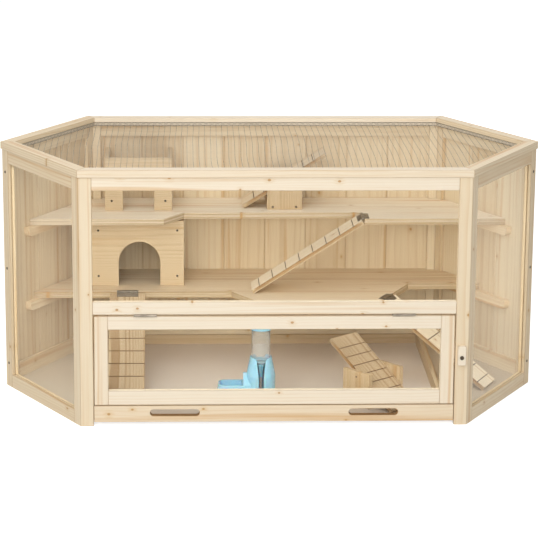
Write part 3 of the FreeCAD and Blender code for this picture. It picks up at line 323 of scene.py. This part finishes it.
def wood(name, pale, dark, ring=0.0045, lines=0.55, fibres=0.4, knots=0.3, edges=0.0):
    """Bare wood. The grain attribute holds each point's place in its own board, in metres."""
    look = Finish(name)
    place = look.add("Attribute", attribute_name="grain").outputs["Vector"]
    tone = look.add("Attribute", attribute_name="tone").outputs["Fac"]
    low = look.add("Attribute", attribute_name="hollow").outputs["Fac"]
    knot, halo = knots_in(look, place, knots)
    rings = rings_in(look, place, halo, ring)
    patch = look.noise(place, PATCHES)
    fibre = look.noise(place, FIBRES, roughness=0.7)
    streak = look.range(look.noise(place, STREAKS, detail=3), 0.55, 0.8)
    amount = look.sum("MULTIPLY", rings, look.range(patch, 0.3, 0.7, 0.35 * lines, lines))
    amount = look.sum("MULTIPLY_ADD", look.sum("SUBTRACT", fibre, 0.5), fibres, amount)
    amount = look.sum("MULTIPLY_ADD", streak, STREAK_DARK, amount)
    amount = look.sum("MULTIPLY_ADD", look.sum("SUBTRACT", tone, 0.5), TONE_SPREAD, amount)
    amount = look.sum("MULTIPLY_ADD", halo, HALO_DARK, amount)
    base = look.mix(look.range(amount, -0.1, 1.6, 0, 1.7), pale, dark)
    resin = look.range(look.noise(place, RESIN_RUNS), 0.58, 0.72, 0, 0.5)
    base = look.mix(resin, base, RESIN, "MULTIPLY")
    if edges:
        base = look.mix(layers_on_edges(look, place, edges), base, GLUED_LAYERS)
    base = look.mix(look.sum("MULTIPLY", knot, KNOT_SHOWN), base, KNOT_WOOD)
    # Grooves are painted dark brown as painted shade, rubbed edges darker as dust.
    base = look.mix(low, base, look.mix(look.range(low, 0.9, 1.0), EDGE_DUST, GROOVE_SHADE))
    height = look.sum("MULTIPLY_ADD", rings, 0.5, fibre)
    bump = look.add("Bump", ("Height", height), ("Strength", 0.35), ("Distance", 0.0004))
    shader = look.add("BsdfPrincipled", ("Base Color", base),
                      ("Roughness", look.range(fibre, 0.2, 0.8, *WOOD_ROUGH)),
                      ("Specular IOR Level", 0.35), ("Normal", bump.outputs[0]))
    return look.finish(shader.outputs[0])


# %% [markdown]
# The cage's timbers aren't all alike. The front rails are planed and pale, the posts are stronger
# lined, and the lining is a plainer, browner wood. The side pine and the stronger lined ramp pine
# are darker as painted shade, and the top shelf's pine is paler as painted light. One finish with
# other colours and strengths gives them all, which keeps their figure related, as in wood of one
# mill.

# %% Mix the kinds of pine
PINE = wood("pine", colour(243, 229, 206), colour(220, 186, 133), lines=0.32, knots=0.3)
POST_PINE = wood("post_pine", colour(238, 221, 192), colour(217, 182, 129), lines=0.5, knots=0.18)
# The side pine is darker than the front pine, as painted shade.
SHADED_SIDE_PINE = wood("side_pine", colour(237, 218, 186), colour(210, 176, 126), knots=0.28)
BOARD = wood("lining_pine", colour(230, 213, 182), colour(194, 160, 111), ring=0.006, lines=0.33,
             fibres=0.6, knots=0.1)
SHELF = wood("shelf_pine", colour(238, 223, 197), colour(196, 163, 118), lines=0.6, fibres=0.6,
             knots=0.1, edges=0.95)
# The top shelf's pine is a paler copy of the shelf pine, as painted light.
LIT_TOP_SHELF = wood("top_shelf_pine", colour(248, 236, 215), colour(206, 174, 130), lines=0.6,
                 fibres=0.6, knots=0.1, edges=0.95)
# The ramp pine is a darker copy of the pine, as painted shade on boards that lie in shade.
SHADED_RAMP_PINE = wood("ramp_pine", colour(200, 178, 146), colour(160, 128, 90), lines=0.9, knots=0.1)
HOUSE = wood("house_pine", colour(212, 189, 154), colour(170, 138, 97), ring=0.0035, lines=0.45,
             fibres=0.6, knots=0.04)
kinds = (PINE, POST_PINE, SHADED_SIDE_PINE, BOARD, SHELF, LIT_TOP_SHELF, SHADED_RAMP_PINE, HOUSE)
print("kinds of pine:", ", ".join(kind.name for kind in kinds))

# %% [markdown]
# ## Reading the solids of a part
# A part can hold several boards, and grain, edges and tone belong to a board and not to a part.
# Blender could separate a mesh by loose parts, but boards that touch at a corner would stay
# together. The frame's mesh is a run of triangles, board after board, and each board is closed. So
# the triangles are gathered until no edge is left open, and that is one board.

# %% Helpers to split a part into its solids
def solids_of(node):
    """The closed solids of a part, each as a list of triangles of corner places."""
    mesh = frame["nodes"][node].data
    places = [tuple(vertex.co) for vertex in mesh.vertices]
    solid = []
    open_edges = set()
    found = []
    for face in mesh.polygons:
        corners = [places[index] for index in face.vertices]
        solid.append(corners)
        for one, other in zip(corners, corners[1:] + corners[:1]):
            if one != other:
                open_edges ^= {frozenset((one, other))}
        if not open_edges:
            found.append(solid)
            solid = []
    if solid:
        raise ValueError(f"{node} isn't made of closed solids")
    return found


def corners_of(triangles):
    """A solid's corner points, each one once."""
    return [Vector(place) for place in {corner for face in triangles for corner in face}]


# %% [markdown]
# Sawyers cut boards along the trunk, so the grain follows a board's longest edge, and the rings
# are seen best on its widest face. Both directions are measured on the solid itself, which holds
# for boards that stand at any angle.

# %% Helpers for a board's directions
SHARP = math.radians(25)


def long_way(shape):
    """The direction of the longest real edge of a solid."""
    edges = [edge.verts[1].co - edge.verts[0].co for edge in shape.edges
             if edge.is_manifold and edge.calc_face_angle(0) > SHARP]
    return max(edges, key=lambda edge: edge.length).normalized()


def flat_way(triangles, toward=None):
    """The direction square to most of a solid's faces, turned to the side of another direction."""
    areas = {}
    for face in triangles:
        one, two, three = (Vector(corner) for corner in face)
        across = (two - one).cross(three - one)
        if across.length > 0:
            way = across.normalized()
            way = tuple(round(abs(c), 2) for c in way), way.x * way.y > 0
            total, kept = areas.get(way, (0, across.normalized()))
            areas[way] = (total + across.length, kept)
    widest = max(areas.values(), key=lambda found: found[0])[1]
    return -widest if toward and widest.dot(toward) < 0 else widest


# %% [markdown]
# ## Softened edges
# No sawn edge is sharp: a light sanding rounds it by less than a millimetre, and that thin line
# catches the light and shows where two boards meet. A bevel modifier could do it for a whole part,
# but here the rounded points are wanted afterwards. So each board is rebuilt from its triangles,
# joined into whole faces, and its sharp edges are bevelled.

# %% Helper to soften a solid
FLAT = math.radians(0.3)


def soften(triangles, edge):
    """A solid's mesh with sharp edges rounded by this much, its long way and its worn points."""
    shape = bmesh.new()
    corners = {}
    for face in triangles:
        for place in face:
            if place not in corners:
                corners[place] = shape.verts.new(place)
        points = [corners[place] for place in face]
        if len(set(points)) == 3 and not shape.faces.get(points):
            shape.faces.new(points)
    bmesh.ops.dissolve_limit(shape, angle_limit=FLAT, verts=shape.verts[:], edges=shape.edges[:])
    along = long_way(shape)
    sharp = [one for one in shape.edges if one.is_manifold and one.calc_face_angle(0) > SHARP]
    bevel = bmesh.ops.bevel(shape, geom=sharp, offset=edge, segments=2, profile=0.5,
                            affect="EDGES", clamp_overlap=True)
    rounded = set(bevel["faces"])
    worn = {vertex for vertex in shape.verts if rounded.issuperset(vertex.link_faces)}
    return shape, along, worn


# %% [markdown]
# A finished shape becomes a piece. It rides the body that it moves with, and stands for the
# frame's plain shape, which is then hidden.

# %% Helper to hand over a piece
def piece_from(shape, name, material, body, slot, *nodes):
    """Turn a finished shape into a piece that rides a body and stands for parts of the frame."""
    mesh = bpy.data.meshes.new(name)
    shape.to_mesh(mesh)
    shape.free()
    mesh.materials.append(material)
    piece = bpy.data.objects.new(name, mesh)
    scene.collection.objects.link(piece)
    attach(piece, body)
    if nodes:
        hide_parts(*nodes)


# %% [markdown]
# ## Boards
# Every point of a board stores its place in the tree: along the grain, across it, and out from the
# trunk. Unwrapping the boards would tear the figure at each edge, while a place in space carries
# it round the corner. Each board starts somewhere else in the tree and has its own tone.

# %% Helper to make boards
PLANED_EDGE = 0.0011
THIN_TRUNK = 0.045
WORN_EDGE = 0.5
TREE_TALL = 9
OFF_MIDDLE = 0.03
TRUNK_SPREAD = (0.5, 1.5)
draw = random.Random(11)


def boards(node, material, slot, edge=PLANED_EDGE, grain=None, trunk=THIN_TRUNK, hollow=None,
           dusty=WORN_EDGE):
    """A part's boards in one piece, with soft edges and the grain's places as attributes.

    Points deeper in a board than hollow, from both its faces, get a dark brown as painted shade
    in a groove, and a line along each rounded edge is darker too, by as much as it is dusty.
    """
    whole = bmesh.new()
    places = whole.verts.layers.float_vector.new("grain")
    tones = whole.verts.layers.float.new("tone")
    groove_shade_and_edge_dust = whole.verts.layers.float.new("hollow")
    solids = solids_of(node)
    for triangles in solids:
        shape, along, worn = soften(triangles, edge)
        if grain:
            along = Vector(grain).normalized()
        out = flat_way(triangles)
        out = (out - along * out.dot(along)).normalized()
        side = out.cross(along)
        middle = sum((vertex.co for vertex in shape.verts), Vector()) / len(shape.verts)
        start = Vector((draw.uniform(-TREE_TALL, TREE_TALL), draw.uniform(-OFF_MIDDLE, OFF_MIDDLE),
                        trunk * draw.uniform(*TRUNK_SPREAD)))
        tone = draw.random()
        depths = [vertex.co.dot(out) for vertex in shape.verts]
        low, high = min(depths), max(depths)
        copies = {}
        for vertex in shape.verts:
            point = vertex.co - middle
            copy = whole.verts.new(vertex.co)
            copy[places] = start + Vector((point.dot(along), point.dot(side), point.dot(out)))
            copy[tones] = tone
            depth = vertex.co.dot(out)
            deep = bool(hollow) and low + hollow < depth < high - hollow
            copy[groove_shade_and_edge_dust] = 1 if deep else dusty if vertex in worn else 0
            copies[vertex] = copy
        for face in shape.faces:
            whole.faces.new([copies[vertex] for vertex in face.verts])
        shape.free()
    print(node, "boards:", len(solids), "faces:", len(whole.faces))
    piece_from(whole, node + "_wood", material, frame["nodes"][node]["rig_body"], slot, node)


# %% [markdown]
# ## Timber frame, door and lid
# The rails and uprights are long and thin, so the grain simply follows the longest edge. The
# photograph shows the front timbers palest. One lamp for each side would be hard to balance, so
# the sides and the back get darker, warmer kinds of pine instead, which is painted shade.

# %% Make the frame, the door and the lid
TIMBERS = (
    "front_left_post", "front_right_post", "front_top_rail", "front_mid_rail",
    "left_front_frame", "right_front_frame", "back_frame", "left_back_frame", "right_back_frame",
    "door_left_stile", "door_right_stile", "door_top_rail", "door_bottom_rail", "drawer_front",
    "turn_button", "lid_front_rail", "lid_back_rail", "lid_side_rails", "shelf_battens",
    "drawer_runners",
)
SHADED_SIDE_TIMBERS = ("left_front_frame", "right_front_frame", "lid_side_rails", "shelf_battens",
                "drawer_runners")
SHADED_BACK_TIMBERS = ("back_frame", "left_back_frame", "right_back_frame")
POSTS = ("front_left_post", "front_right_post")
# The side and back timbers take darker pine, which is painted shade.
KINDS = {**dict.fromkeys(TIMBERS, PINE), **dict.fromkeys(SHADED_SIDE_TIMBERS, SHADED_SIDE_PINE),
         **dict.fromkeys(SHADED_BACK_TIMBERS, BOARD), **dict.fromkeys(POSTS, POST_PINE)}
for node, material in KINDS.items():
    boards(node, material, "pine")
print(len(TIMBERS), "timber parts")

# %% [markdown]
# The walls of the drawer's finger slots are cut pine, painted a darker brown as painted shade
# inside the slots. The slots are part of one board, so they take a second material on some of its
# faces: those that look up, down or sideways, and lie away from the board's own edges.

# %% Paint shade on the walls of the finger slots
SLOT_FROM_EDGE = 0.009
SLOT_FROM_END = 0.02
SLOT_TURN = 0.5
# Dark brown cut pine, as painted shade on the slot walls.
SLOT_SHADE_WOOD = wood("cut_pine", colour(176, 140, 92), colour(120, 86, 48), lines=1.0, knots=0)
drawer = bpy.data.objects["drawer_front_wood"].data
drawer.materials.append(SLOT_SHADE_WOOD)
drawer_low, drawer_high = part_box("drawer_front")
walls = 0
for face in drawer.polygons:
    if (drawer_low.z + SLOT_FROM_EDGE < face.center.z < drawer_high.z - SLOT_FROM_EDGE
            and drawer_low.x + SLOT_FROM_END < face.center.x < drawer_high.x - SLOT_FROM_END
            and abs(face.normal.y) < SLOT_TURN):
        face.material_index = 1
        walls += 1
print("faces in the slots:", walls)

# %% [markdown]
# ## Lining, shelves and what stands on them
# The lining is of tongued boards, and dust darkens the joints between them. A shelf is wide and
# notched, so its longest edge may lie across the grain, and the grain is given instead, as it is
# for the houses and the stands. The rungs of ramps and seesaws are grooves: their points lie
# deeper than both faces, and that marks them as hollow, to be painted with shade.

# %% Make the lining, the shelves and what stands on them
ACROSS = (1, 0, 0)
BACKWARDS = (0, 1, 0)
UPRIGHT = (0, 0, 1)
LINING_EDGE = 0.0008
LINING_TRUNK = 0.06
SHELF_EDGE = 0.001
SHELF_TRUNK = 0.09
GROOVED_EDGE = 0.0002
HOUSE_EDGE = 0.0005
STAND_EDGE = 0.0003
BOARD_JOINT = 0.85
# Points this far inside both faces lie in a groove and get painted shade.
GROOVE_FROM = 0.001

for node in ("back_boards", "left_back_boards", "right_back_boards"):
    boards(node, BOARD, "board", edge=LINING_EDGE, trunk=LINING_TRUNK, dusty=BOARD_JOINT)
# The upper shelf takes the paler pine as painted light, the mid shelf the plain shelf pine.
for node, material in (("upper_shelf", LIT_TOP_SHELF), ("mid_shelf", SHELF)):
    boards(node, material, "shelf_wood", edge=SHELF_EDGE, grain=ACROSS, trunk=SHELF_TRUNK)
# The left ramp takes the darker ramp pine as painted shade, the other ramps the shelf pine.
for node, material in (("upper_ramp", SHELF), ("left_ramp", SHADED_RAMP_PINE), ("right_ramp", SHELF)):
    boards(node, material, "shelf_wood", edge=GROOVED_EDGE, hollow=GROOVE_FROM)
for node in ("lower_house_front", "upper_house_front"):
    boards(node, HOUSE, "house_wood", edge=HOUSE_EDGE, grain=ACROSS)
for node in ("lower_house_sides", "upper_house_sides"):
    boards(node, HOUSE, "house_wood", edge=HOUSE_EDGE, grain=BACKWARDS)
# The floor seesaw's board takes the darker ramp pine as painted shade, the upper one the shelf
# pine.
for node, material in (("floor_seesaw_board", SHADED_RAMP_PINE), ("upper_seesaw_board", SHELF)):
    boards(node, material, "house_wood", edge=GROOVED_EDGE, hollow=GROOVE_FROM)
for node in ("floor_seesaw_stand", "upper_seesaw_stand"):
    boards(node, HOUSE, "house_wood", edge=STAND_EDGE, grain=UPRIGHT)
boards("drawer_walls", HOUSE, "house_wood", edge=STAND_EDGE)

# %% [markdown]
# ## Clear panes
# The panes are thin clear plastic. A plain transparent finish would lose their gloss, and glass
# that bends light would keep the lamps out of the cage. So rays from the lamps pass straight
# through, and all others meet a clear, glossy surface. The bottle is a little cloudy.

# %% Make the panes clear
PANE_ROUGH = 0.02


def clear_plastic(name, tint, bending, milk=0.0):
    """Clear plastic that lets the lamps through. Milk is how cloudy each face is, to 1."""
    look = Finish(name)
    body = look.add("BsdfPrincipled", ("Base Color", tint), ("Roughness", PANE_ROUGH),
                    ("IOR", bending), ("Transmission Weight", 1.0))
    free = look.add("BsdfTransparent", ("Color", tint))
    path = look.add("LightPath")
    if milk:
        cloud = look.add("BsdfDiffuse", ("Color", tint))
        body = look.add("MixShader", (0, milk), (1, body.outputs[0]), (2, cloud.outputs[0]))
    shader = look.add("MixShader", (0, path.outputs["Is Shadow Ray"]), (1, body.outputs[0]),
                      (2, free.outputs[0]))
    return look.finish(shader.outputs[0])


PANE = clear_plastic("clear_pane", colour(252, 252, 249), bending=1.12)
BOTTLE = clear_plastic("bottle_plastic", colour(254, 255, 254), bending=1.25, milk=0.09)


def wear(material, *nodes):
    """Give parts of the frame their finish."""
    for node in nodes:
        mesh = frame["nodes"][node].data
        mesh.materials.clear()
        mesh.materials.append(material)
    print(material.name, "on", ", ".join(nodes))


wear(PANE, "front_window", "left_front_window", "right_front_window", "door_window")

# %% [markdown]
# ## Floor sheet
# The drawer's floor is thin board with a dull whitish face. Its shape is right as it is, so the
# frame's own part stays and gets a finish: soft clouds, and flecks so fine that they only break
# the shine.

# %% Make the floor sheet
CLOUDS = (6, 6, 6)
FLECKS = (1800, 1500, 1600)


def flecked(name, pale, dark, rough):
    """A dull sheet with soft clouds and fine flecks."""
    look = Finish(name)
    place = look.add("TexCoord").outputs["Object"]
    cloud = look.noise(place, CLOUDS, detail=4)
    fleck = look.noise(place, FLECKS)
    amount = look.sum("MULTIPLY_ADD", cloud, 0.8, look.sum("MULTIPLY", fleck, 0.15))
    bump = look.add("Bump", ("Height", fleck), ("Strength", 0.08), ("Distance", 0.0002))
    shader = look.add("BsdfPrincipled", ("Base Color", look.mix(amount, pale, dark)),
                      ("Roughness", look.range(fleck, 0.3, 0.7, rough - 0.05, rough + 0.1)),
                      ("Specular IOR Level", 0.3), ("Normal", bump.outputs[0]))
    return look.finish(shader.outputs[0])


FLOOR_SHEET = flecked("floor_sheet", colour(236, 225, 213), colour(216, 201, 185), 0.6)
# The side floors take a darker copy of the floor sheet, as painted shade.
SHADED_SIDE_SHEET = flecked("side_floor_sheet", colour(214, 201, 181), colour(190, 172, 147), 0.6)
wear(FLOOR_SHEET, "drawer_floor")
wear(SHADED_SIDE_SHEET, "side_floors")


# %% [markdown]
# ## Metal
# The hinges are plated steel sheet, the screws are dark and the net is galvanised. Cheap plating
# is seldom a mirror: a cloudy tarnish varies its colour and roughness, and fine scratches run one
# way. Wires this thin would flicker as full metal, so theirs is mostly a plain grey.

# %% Make the metals
TARNISH = (90, 90, 90)
SCRATCHES = (700, 90, 700)


def metal(name, bright, dull, rough, bare=0.9):
    """Plated steel with a cloudy tarnish. Bare is how much of it shines as metal."""
    look = Finish(name)
    place = look.add("TexCoord").outputs["Object"]
    cloud = look.noise(place, TARNISH, detail=4)
    scratch = look.noise(place, SCRATCHES)
    bump = look.add("Bump", ("Height", scratch), ("Strength", 0.15), ("Distance", 0.0002))
    shader = look.add("BsdfPrincipled", ("Base Color", look.mix(cloud, bright, dull)),
                      ("Metallic", bare),
                      ("Roughness", look.range(cloud, 0.3, 0.7, rough - 0.1, rough + 0.15)),
                      ("Normal", bump.outputs[0]))
    return look.finish(shader.outputs[0])


HINGE_STEEL = metal("hinge_steel", colour(166, 156, 140), colour(92, 84, 74), 0.38)
WIRE = metal("wire", colour(136, 125, 108), colour(88, 79, 67), 0.5, bare=0.25)
CROSS_STEEL = metal("cross_wire", colour(204, 198, 186), colour(170, 164, 152), 0.5, bare=0.4)
FOLD = flecked("folded_net", colour(232, 220, 200), colour(176, 162, 140), 0.5)
SCREW_STEEL = metal("screw_steel", colour(92, 78, 60), colour(54, 44, 33), 0.6, bare=0.25)
# The spout is painted pale and barely metallic, as a painted reflection.
SPOUT_STEEL_PAINTED_REFLECTION = metal("spout_steel", colour(232, 222, 208), colour(196, 180, 164), 0.35, bare=0.3)
wear(HINGE_STEEL, "door_hinge_leaves", "lid_hinge_leaves", "upper_ramp_leaf", "left_ramp_leaf",
     "right_ramp_leaf", "fixed_hinge_leaves", "hinge_pins")
wear(SCREW_STEEL, "button_screw", "seesaw_pins")
wear(SPOUT_STEEL_PAINTED_REFLECTION, "drink_spout")


# %% [markdown]
# ## Blue plastic
# The feeder is moulded from glossy blue plastic. Light enters such plastic a little way before it
# comes out again, which a plain gloss paint would miss, so it scatters below the surface, under a
# thin clear coat.

# %% Make the blue plastic
FLOW = (40, 40, 60)
GRIT = (1500, 1500, 1500)


def moulded(name, plain, deep, rough):
    """Glossy moulded plastic with a faint flow pattern."""
    look = Finish(name)
    place = look.add("TexCoord").outputs["Object"]
    cloud = look.noise(place, FLOW, detail=3)
    grit = look.noise(place, GRIT, detail=1)
    bump = look.add("Bump", ("Height", grit), ("Strength", 0.04), ("Distance", 0.0002))
    shader = look.add("BsdfPrincipled", ("Base Color", look.mix(cloud, plain, deep)),
                      ("Roughness", look.range(cloud, 0.3, 0.7, rough - 0.05, rough + 0.08)),
                      ("Subsurface Weight", 0.4), ("Subsurface Scale", 0.02),
                      ("Coat Weight", 0.3), ("Coat Roughness", 0.08),
                      ("Normal", bump.outputs[0]))
    return look.finish(shader.outputs[0])


BLUE = moulded("blue_plastic", colour(168, 216, 236), colour(148, 203, 227), 0.22)
wear(BLUE, "feeder_stand", "bottle_caps")

# %% [markdown]
# ## Wires and turned shapes
# Wires are thin tubes through a row of points, and screws and bottles are stacks of rings. Curves
# with a round profile would do for the wires, but a mesh is counted and checked more easily. Both
# shapes are rings of points under one closed skin.

# %% Helpers for wires and turned shapes
def skin(shape, rings):
    """Join rings of points into one closed shape."""
    sides = len(rings[0])
    for one, other in zip(rings, rings[1:]):
        for side in range(sides):
            after = (side + 1) % sides
            shape.faces.new((one[side], one[after], other[after], other[side]))
    shape.faces.new(rings[0][::-1])
    shape.faces.new(rings[-1])


def turned(shape, middle, turn, rings, sides):
    """A closed shape of rings. Each ring is a list of radii, used in turn, and a level."""
    rows = []
    for radii, level in rings:
        row = []
        for side in range(sides):
            radius = radii[side % len(radii)]
            angle = math.tau * side / sides
            row.append(shape.verts.new(middle + turn @ Vector((
                radius * math.cos(angle), radius * math.sin(angle), level))))
        rows.append(row)
    skin(shape, rows)


def tube(shape, points, radius, sides):
    """A round bar through points, closed at both ends."""
    rings = []
    for at, point in enumerate(points):
        ahead = points[min(at + 1, len(points) - 1)] - points[max(at - 1, 0)]
        turn = ahead.to_track_quat("Z", "Y").to_matrix()
        rings.append([shape.verts.new(point + turn @ Vector((
            radius * math.cos(math.tau * side / sides),
            radius * math.sin(math.tau * side / sides), 0))) for side in range(sides)])
    skin(shape, rings)


# %% [markdown]
# ## Wire mesh
# The lid's net is welded from galvanised wire, half an inch apart. A picture of a net on a flat
# sheet would vanish when it is seen from the side, so each wire is made. The wires that run to the
# back are the thicker ones, and they wave a little, as in a net that is pulled over a frame by
# hand.

# %% Measure the lid's opening
SLANT = math.radians(60)
mesh_low, mesh_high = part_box("lid_mesh")
mesh_level = (mesh_low.z + mesh_high.z) / 2
print("net at", round(mesh_level, 4), "m up")


def reach_x(y):
    """How far the net's hexagon reaches sideways at this depth."""
    return mesh_high.x - abs(y) / math.tan(SLANT)


def reach_y(x):
    """How far the net's hexagon reaches to the front and back at this place."""
    return min(mesh_high.y, (mesh_high.x - abs(x)) * math.tan(SLANT))


# %% [markdown]
# Two slow waves added together look like chance, yet give the same net each time, and neighbouring
# wires drift alike.

# %% Make the wire mesh
WIRE_PITCH = 0.0127
LONG_WIRE = 0.00038
CROSS_WIRE = 0.0002
WIRE_SIDES = 5
WIRE_STEP = 0.05
WIRE_SHORT = 0.001
WAVES = ((0.0014, 11, 7), (0.0006, 23, -12))


def drift(along, across):
    """How far a hand-pulled wire strays here."""
    return sum(size * math.sin(ahead * along + aside * across) for size, ahead, aside in WAVES)


def wires(half_width, reach, spot, radius):
    """A row of wires, each as long as the hexagon is wide where it runs."""
    shape = bmesh.new()
    count = int(half_width / WIRE_PITCH)
    for number in range(-count, count + 1):
        across = number * WIRE_PITCH
        half = reach(across) - WIRE_SHORT
        if half > WIRE_PITCH / 2:
            steps = max(2, round(2 * half / WIRE_STEP))
            ends = [half * (2 * step / steps - 1) for step in range(steps + 1)]
            tube(shape, [spot(across, along) for along in ends], radius, WIRE_SIDES)
    return shape


def long_spot(across, along):
    """A place on a wire that runs to the back."""
    return Vector((across + drift(along, across), along, mesh_level + LONG_WIRE / 2))


def cross_spot(across, along):
    """A place on a wire that runs sideways, under the others."""
    return Vector((along, across + drift(along, across) / 2, mesh_level - LONG_WIRE / 2))


long_wires = wires(mesh_high.x, reach_y, long_spot, LONG_WIRE)
cross_wires = wires(mesh_high.y, reach_x, cross_spot, CROSS_WIRE)
print("net faces:", len(long_wires.faces), "and", len(cross_wires.faces))
piece_from(long_wires, "lid_wire_net", WIRE, "lid", "wire", "lid_mesh")
piece_from(cross_wires, "lid_cross_wires", CROSS_STEEL, "lid", "wire")

# %% [markdown]
# Along the rails the net is folded over, which gives a bright band between two dark wires. The fold
# keeps inside the rails all the way round, so its corners are worked out from the back rail.

# %% Measure the fold
HEM_BELOW = 0.0015
HEM_TALL = 0.0072
HEM_WIRE = 0.00045
rail_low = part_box("lid_back_rail")[0]
hem_inset = mesh_high.y - rail_low.y + 2 * HEM_WIRE
hem_depth = mesh_high.y - hem_inset
hem_tip = mesh_high.x - hem_inset / math.sin(SLANT)
hem_corner = hem_tip - hem_depth / math.tan(SLANT)
hem_line = [Vector((x, y, 0)) for x, y in (
    (-hem_corner, -hem_depth), (hem_corner, -hem_depth), (hem_tip, 0),
    (hem_corner, hem_depth), (-hem_corner, hem_depth), (-hem_tip, 0))]
hem_low = rail_low.z - HEM_BELOW
hem_levels = [Vector((0, 0, level)) for level in (hem_low, hem_low + HEM_TALL)]
print("fold", round(hem_inset, 4), "m in, from", round(hem_low, 4), "m up")

# %% [markdown]
# The band is a thin strip on each side of the hexagon. A wire runs along its foot and its top, and
# two zigzags between them stand for the meshes that show through.

# %% Fold the net over along the rails
FOLD_NEAR = 0.0002
FOLD_FAR = 0.0007
HEM_SIDES = 6
LACE_SIDES = 4
BOX_FACES = ((3, 2, 1, 0), (4, 5, 6, 7), (0, 1, 5, 4), (1, 2, 6, 5), (2, 3, 7, 6), (3, 0, 4, 7))

band = bmesh.new()
dark = bmesh.new()
for one, other in zip(hem_line, hem_line[1:] + hem_line[:1]):
    way = (other - one).normalized()
    outward = Vector((way.y, -way.x, 0))
    strip = ((one, FOLD_NEAR), (other, FOLD_NEAR), (other, FOLD_FAR), (one, FOLD_FAR))
    spots = [band.verts.new(place + outward * shift + level)
             for level in hem_levels for place, shift in strip]
    for face in BOX_FACES:
        band.faces.new([spots[index] for index in face])
    for level in hem_levels:
        tube(dark, [one + level, other + level], HEM_WIRE, HEM_SIDES)
    count = int((other - one).length / WIRE_PITCH)
    for lean in (1, 0):
        line = [one + (other - one) * (step / count) + hem_levels[(step + lean) % 2]
                for step in range(count + 1)]
        tube(dark, line, CROSS_WIRE, LACE_SIDES)
print("fold faces:", len(band.faces), "hem faces:", len(dark.faces))
piece_from(band, "lid_net_fold", FOLD, "lid", "wire")
piece_from(dark, "lid_net_hem", WIRE, "lid", "wire")

# %% [markdown]
# ## Screws
# The heads are low domes with a cross-shaped recess. A recess could be cut with a boolean, but a
# ring whose points lie near and far in turn gives the cross in one go. Each head takes its place,
# size and direction from the flat disc that stands for it in the frame.

# %% Make the screw heads
HEAD_SIDES = 16
HEAD_RINGS = ((1.0, -0.5), (0.96, 0.1), (0.72, 0.5))
ARMS = (0.52, 0.24, 0.2, 0.24)
RECESS = (0.5, -0.4)


def screw_head(heads, middle, out, wide, tall):
    """One domed head with a recess. Its disc has this middle, direction, radius and height."""
    turn = out.to_track_quat("Z", "Y").to_matrix() @ Matrix.Rotation(draw.random(), 3, "Z")
    arms = [wide * reach for reach in ARMS]
    rings = [([wide * reach], tall * level) for reach, level in HEAD_RINGS]
    rings += [(arms, tall * level) for level in RECESS]
    turned(heads, middle, turn, rings, HEAD_SIDES)


def screw_heads(node, facing=None):
    """Domed heads with a recess, in the place of a part's discs."""
    heads = bmesh.new()
    for triangles in solids_of(node):
        points = corners_of(triangles)
        middle = sum(points, Vector()) / len(points)
        out = flat_way(triangles, facing or middle)
        wide = max(((point - middle) - out * (point - middle).dot(out)).length for point in points)
        tall = 2 * max((point - middle).dot(out) for point in points)
        screw_head(heads, middle, out, wide, tall)
    print(node, "head faces:", len(heads.faces))
    piece_from(heads, node + "_heads", SCREW_STEEL, "root", "screw_steel", node)


screw_heads("frame_screws")
screw_heads("house_screws", Vector((0, -1, 0)))

# %% [markdown]
# Two screws near the foot of each plate hold the seesaws' stands together. They are too small for
# the frame. Written places would go wrong if a stand were moved, so they are worked out from the
# plates, which are the tallest boards of a stand.

# %% Screw the seesaws' stands together
STAND_SCREW_IN = 0.013
STAND_SCREW_RISE = 0.006
STAND_SCREW_RADIUS = 0.0027
STAND_SCREW_TALL = 0.0008
PLATE_SHARE = 0.9

for node in ("floor_seesaw_stand", "upper_seesaw_stand"):
    heads = bmesh.new()
    stand_low, stand_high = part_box(node)
    stand_middle = (stand_low + stand_high) / 2
    for triangles in solids_of(node):
        points = corners_of(triangles)
        levels = [point.z for point in points]
        if max(levels) - min(levels) > PLATE_SHARE * (stand_high.z - stand_low.z):
            middle = sum(points, Vector()) / len(points)
            out = flat_way(triangles, middle - stand_middle)
            along = Vector((0, 0, 1)).cross(out)
            face = max(point.dot(out) for point in points) * out
            reach = max((point - middle).dot(along) for point in points) - STAND_SCREW_IN
            for way in (-reach, reach):
                spot = face + along * (middle.dot(along) + way)
                spot.z = stand_low.z + STAND_SCREW_RISE
                screw_head(heads, spot, out, STAND_SCREW_RADIUS, STAND_SCREW_TALL)
    print(node, "head faces:", len(heads.faces))
    piece_from(heads, node + "_screws", SCREW_STEEL, "root", "screw_steel")

# %% [markdown]
# ## Water bottle
# The bottle is blown thin. A solid of clear plastic would bend the light like a lens, so it needs
# an inner face as well as an outer one. The inner face is a second closed shape that is turned
# inside out.

# %% Make the bottle's wall
BOTTLE_WALL = 0.0009
BOTTLE_ROUND = 0.004
BOTTLE_SIDES = 48
bottle_low, bottle_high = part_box("water_bottle")
bottle_middle = (bottle_low + bottle_high) / 2
bottle_radius = (bottle_high.x - bottle_low.x) / 2
half_tall = (bottle_high.z - bottle_low.z) / 2
bottle = bmesh.new()
for inward in (0, BOTTLE_WALL):
    radius = bottle_radius - inward
    level = half_tall - inward
    rings = [([radius - BOTTLE_ROUND], -level), ([radius], BOTTLE_ROUND - level), ([radius], level)]
    if inward:
        rings.reverse()
    turned(bottle, bottle_middle, Matrix.Identity(3), rings, BOTTLE_SIDES)
for face in bottle.faces:
    face.smooth = len(face.verts) == 4
print("bottle radius", round(bottle_radius, 4), "height", round(2 * half_tall, 4))
piece_from(bottle, "bottle_wall", BOTTLE, "root", "bottle_plastic", "water_bottle")
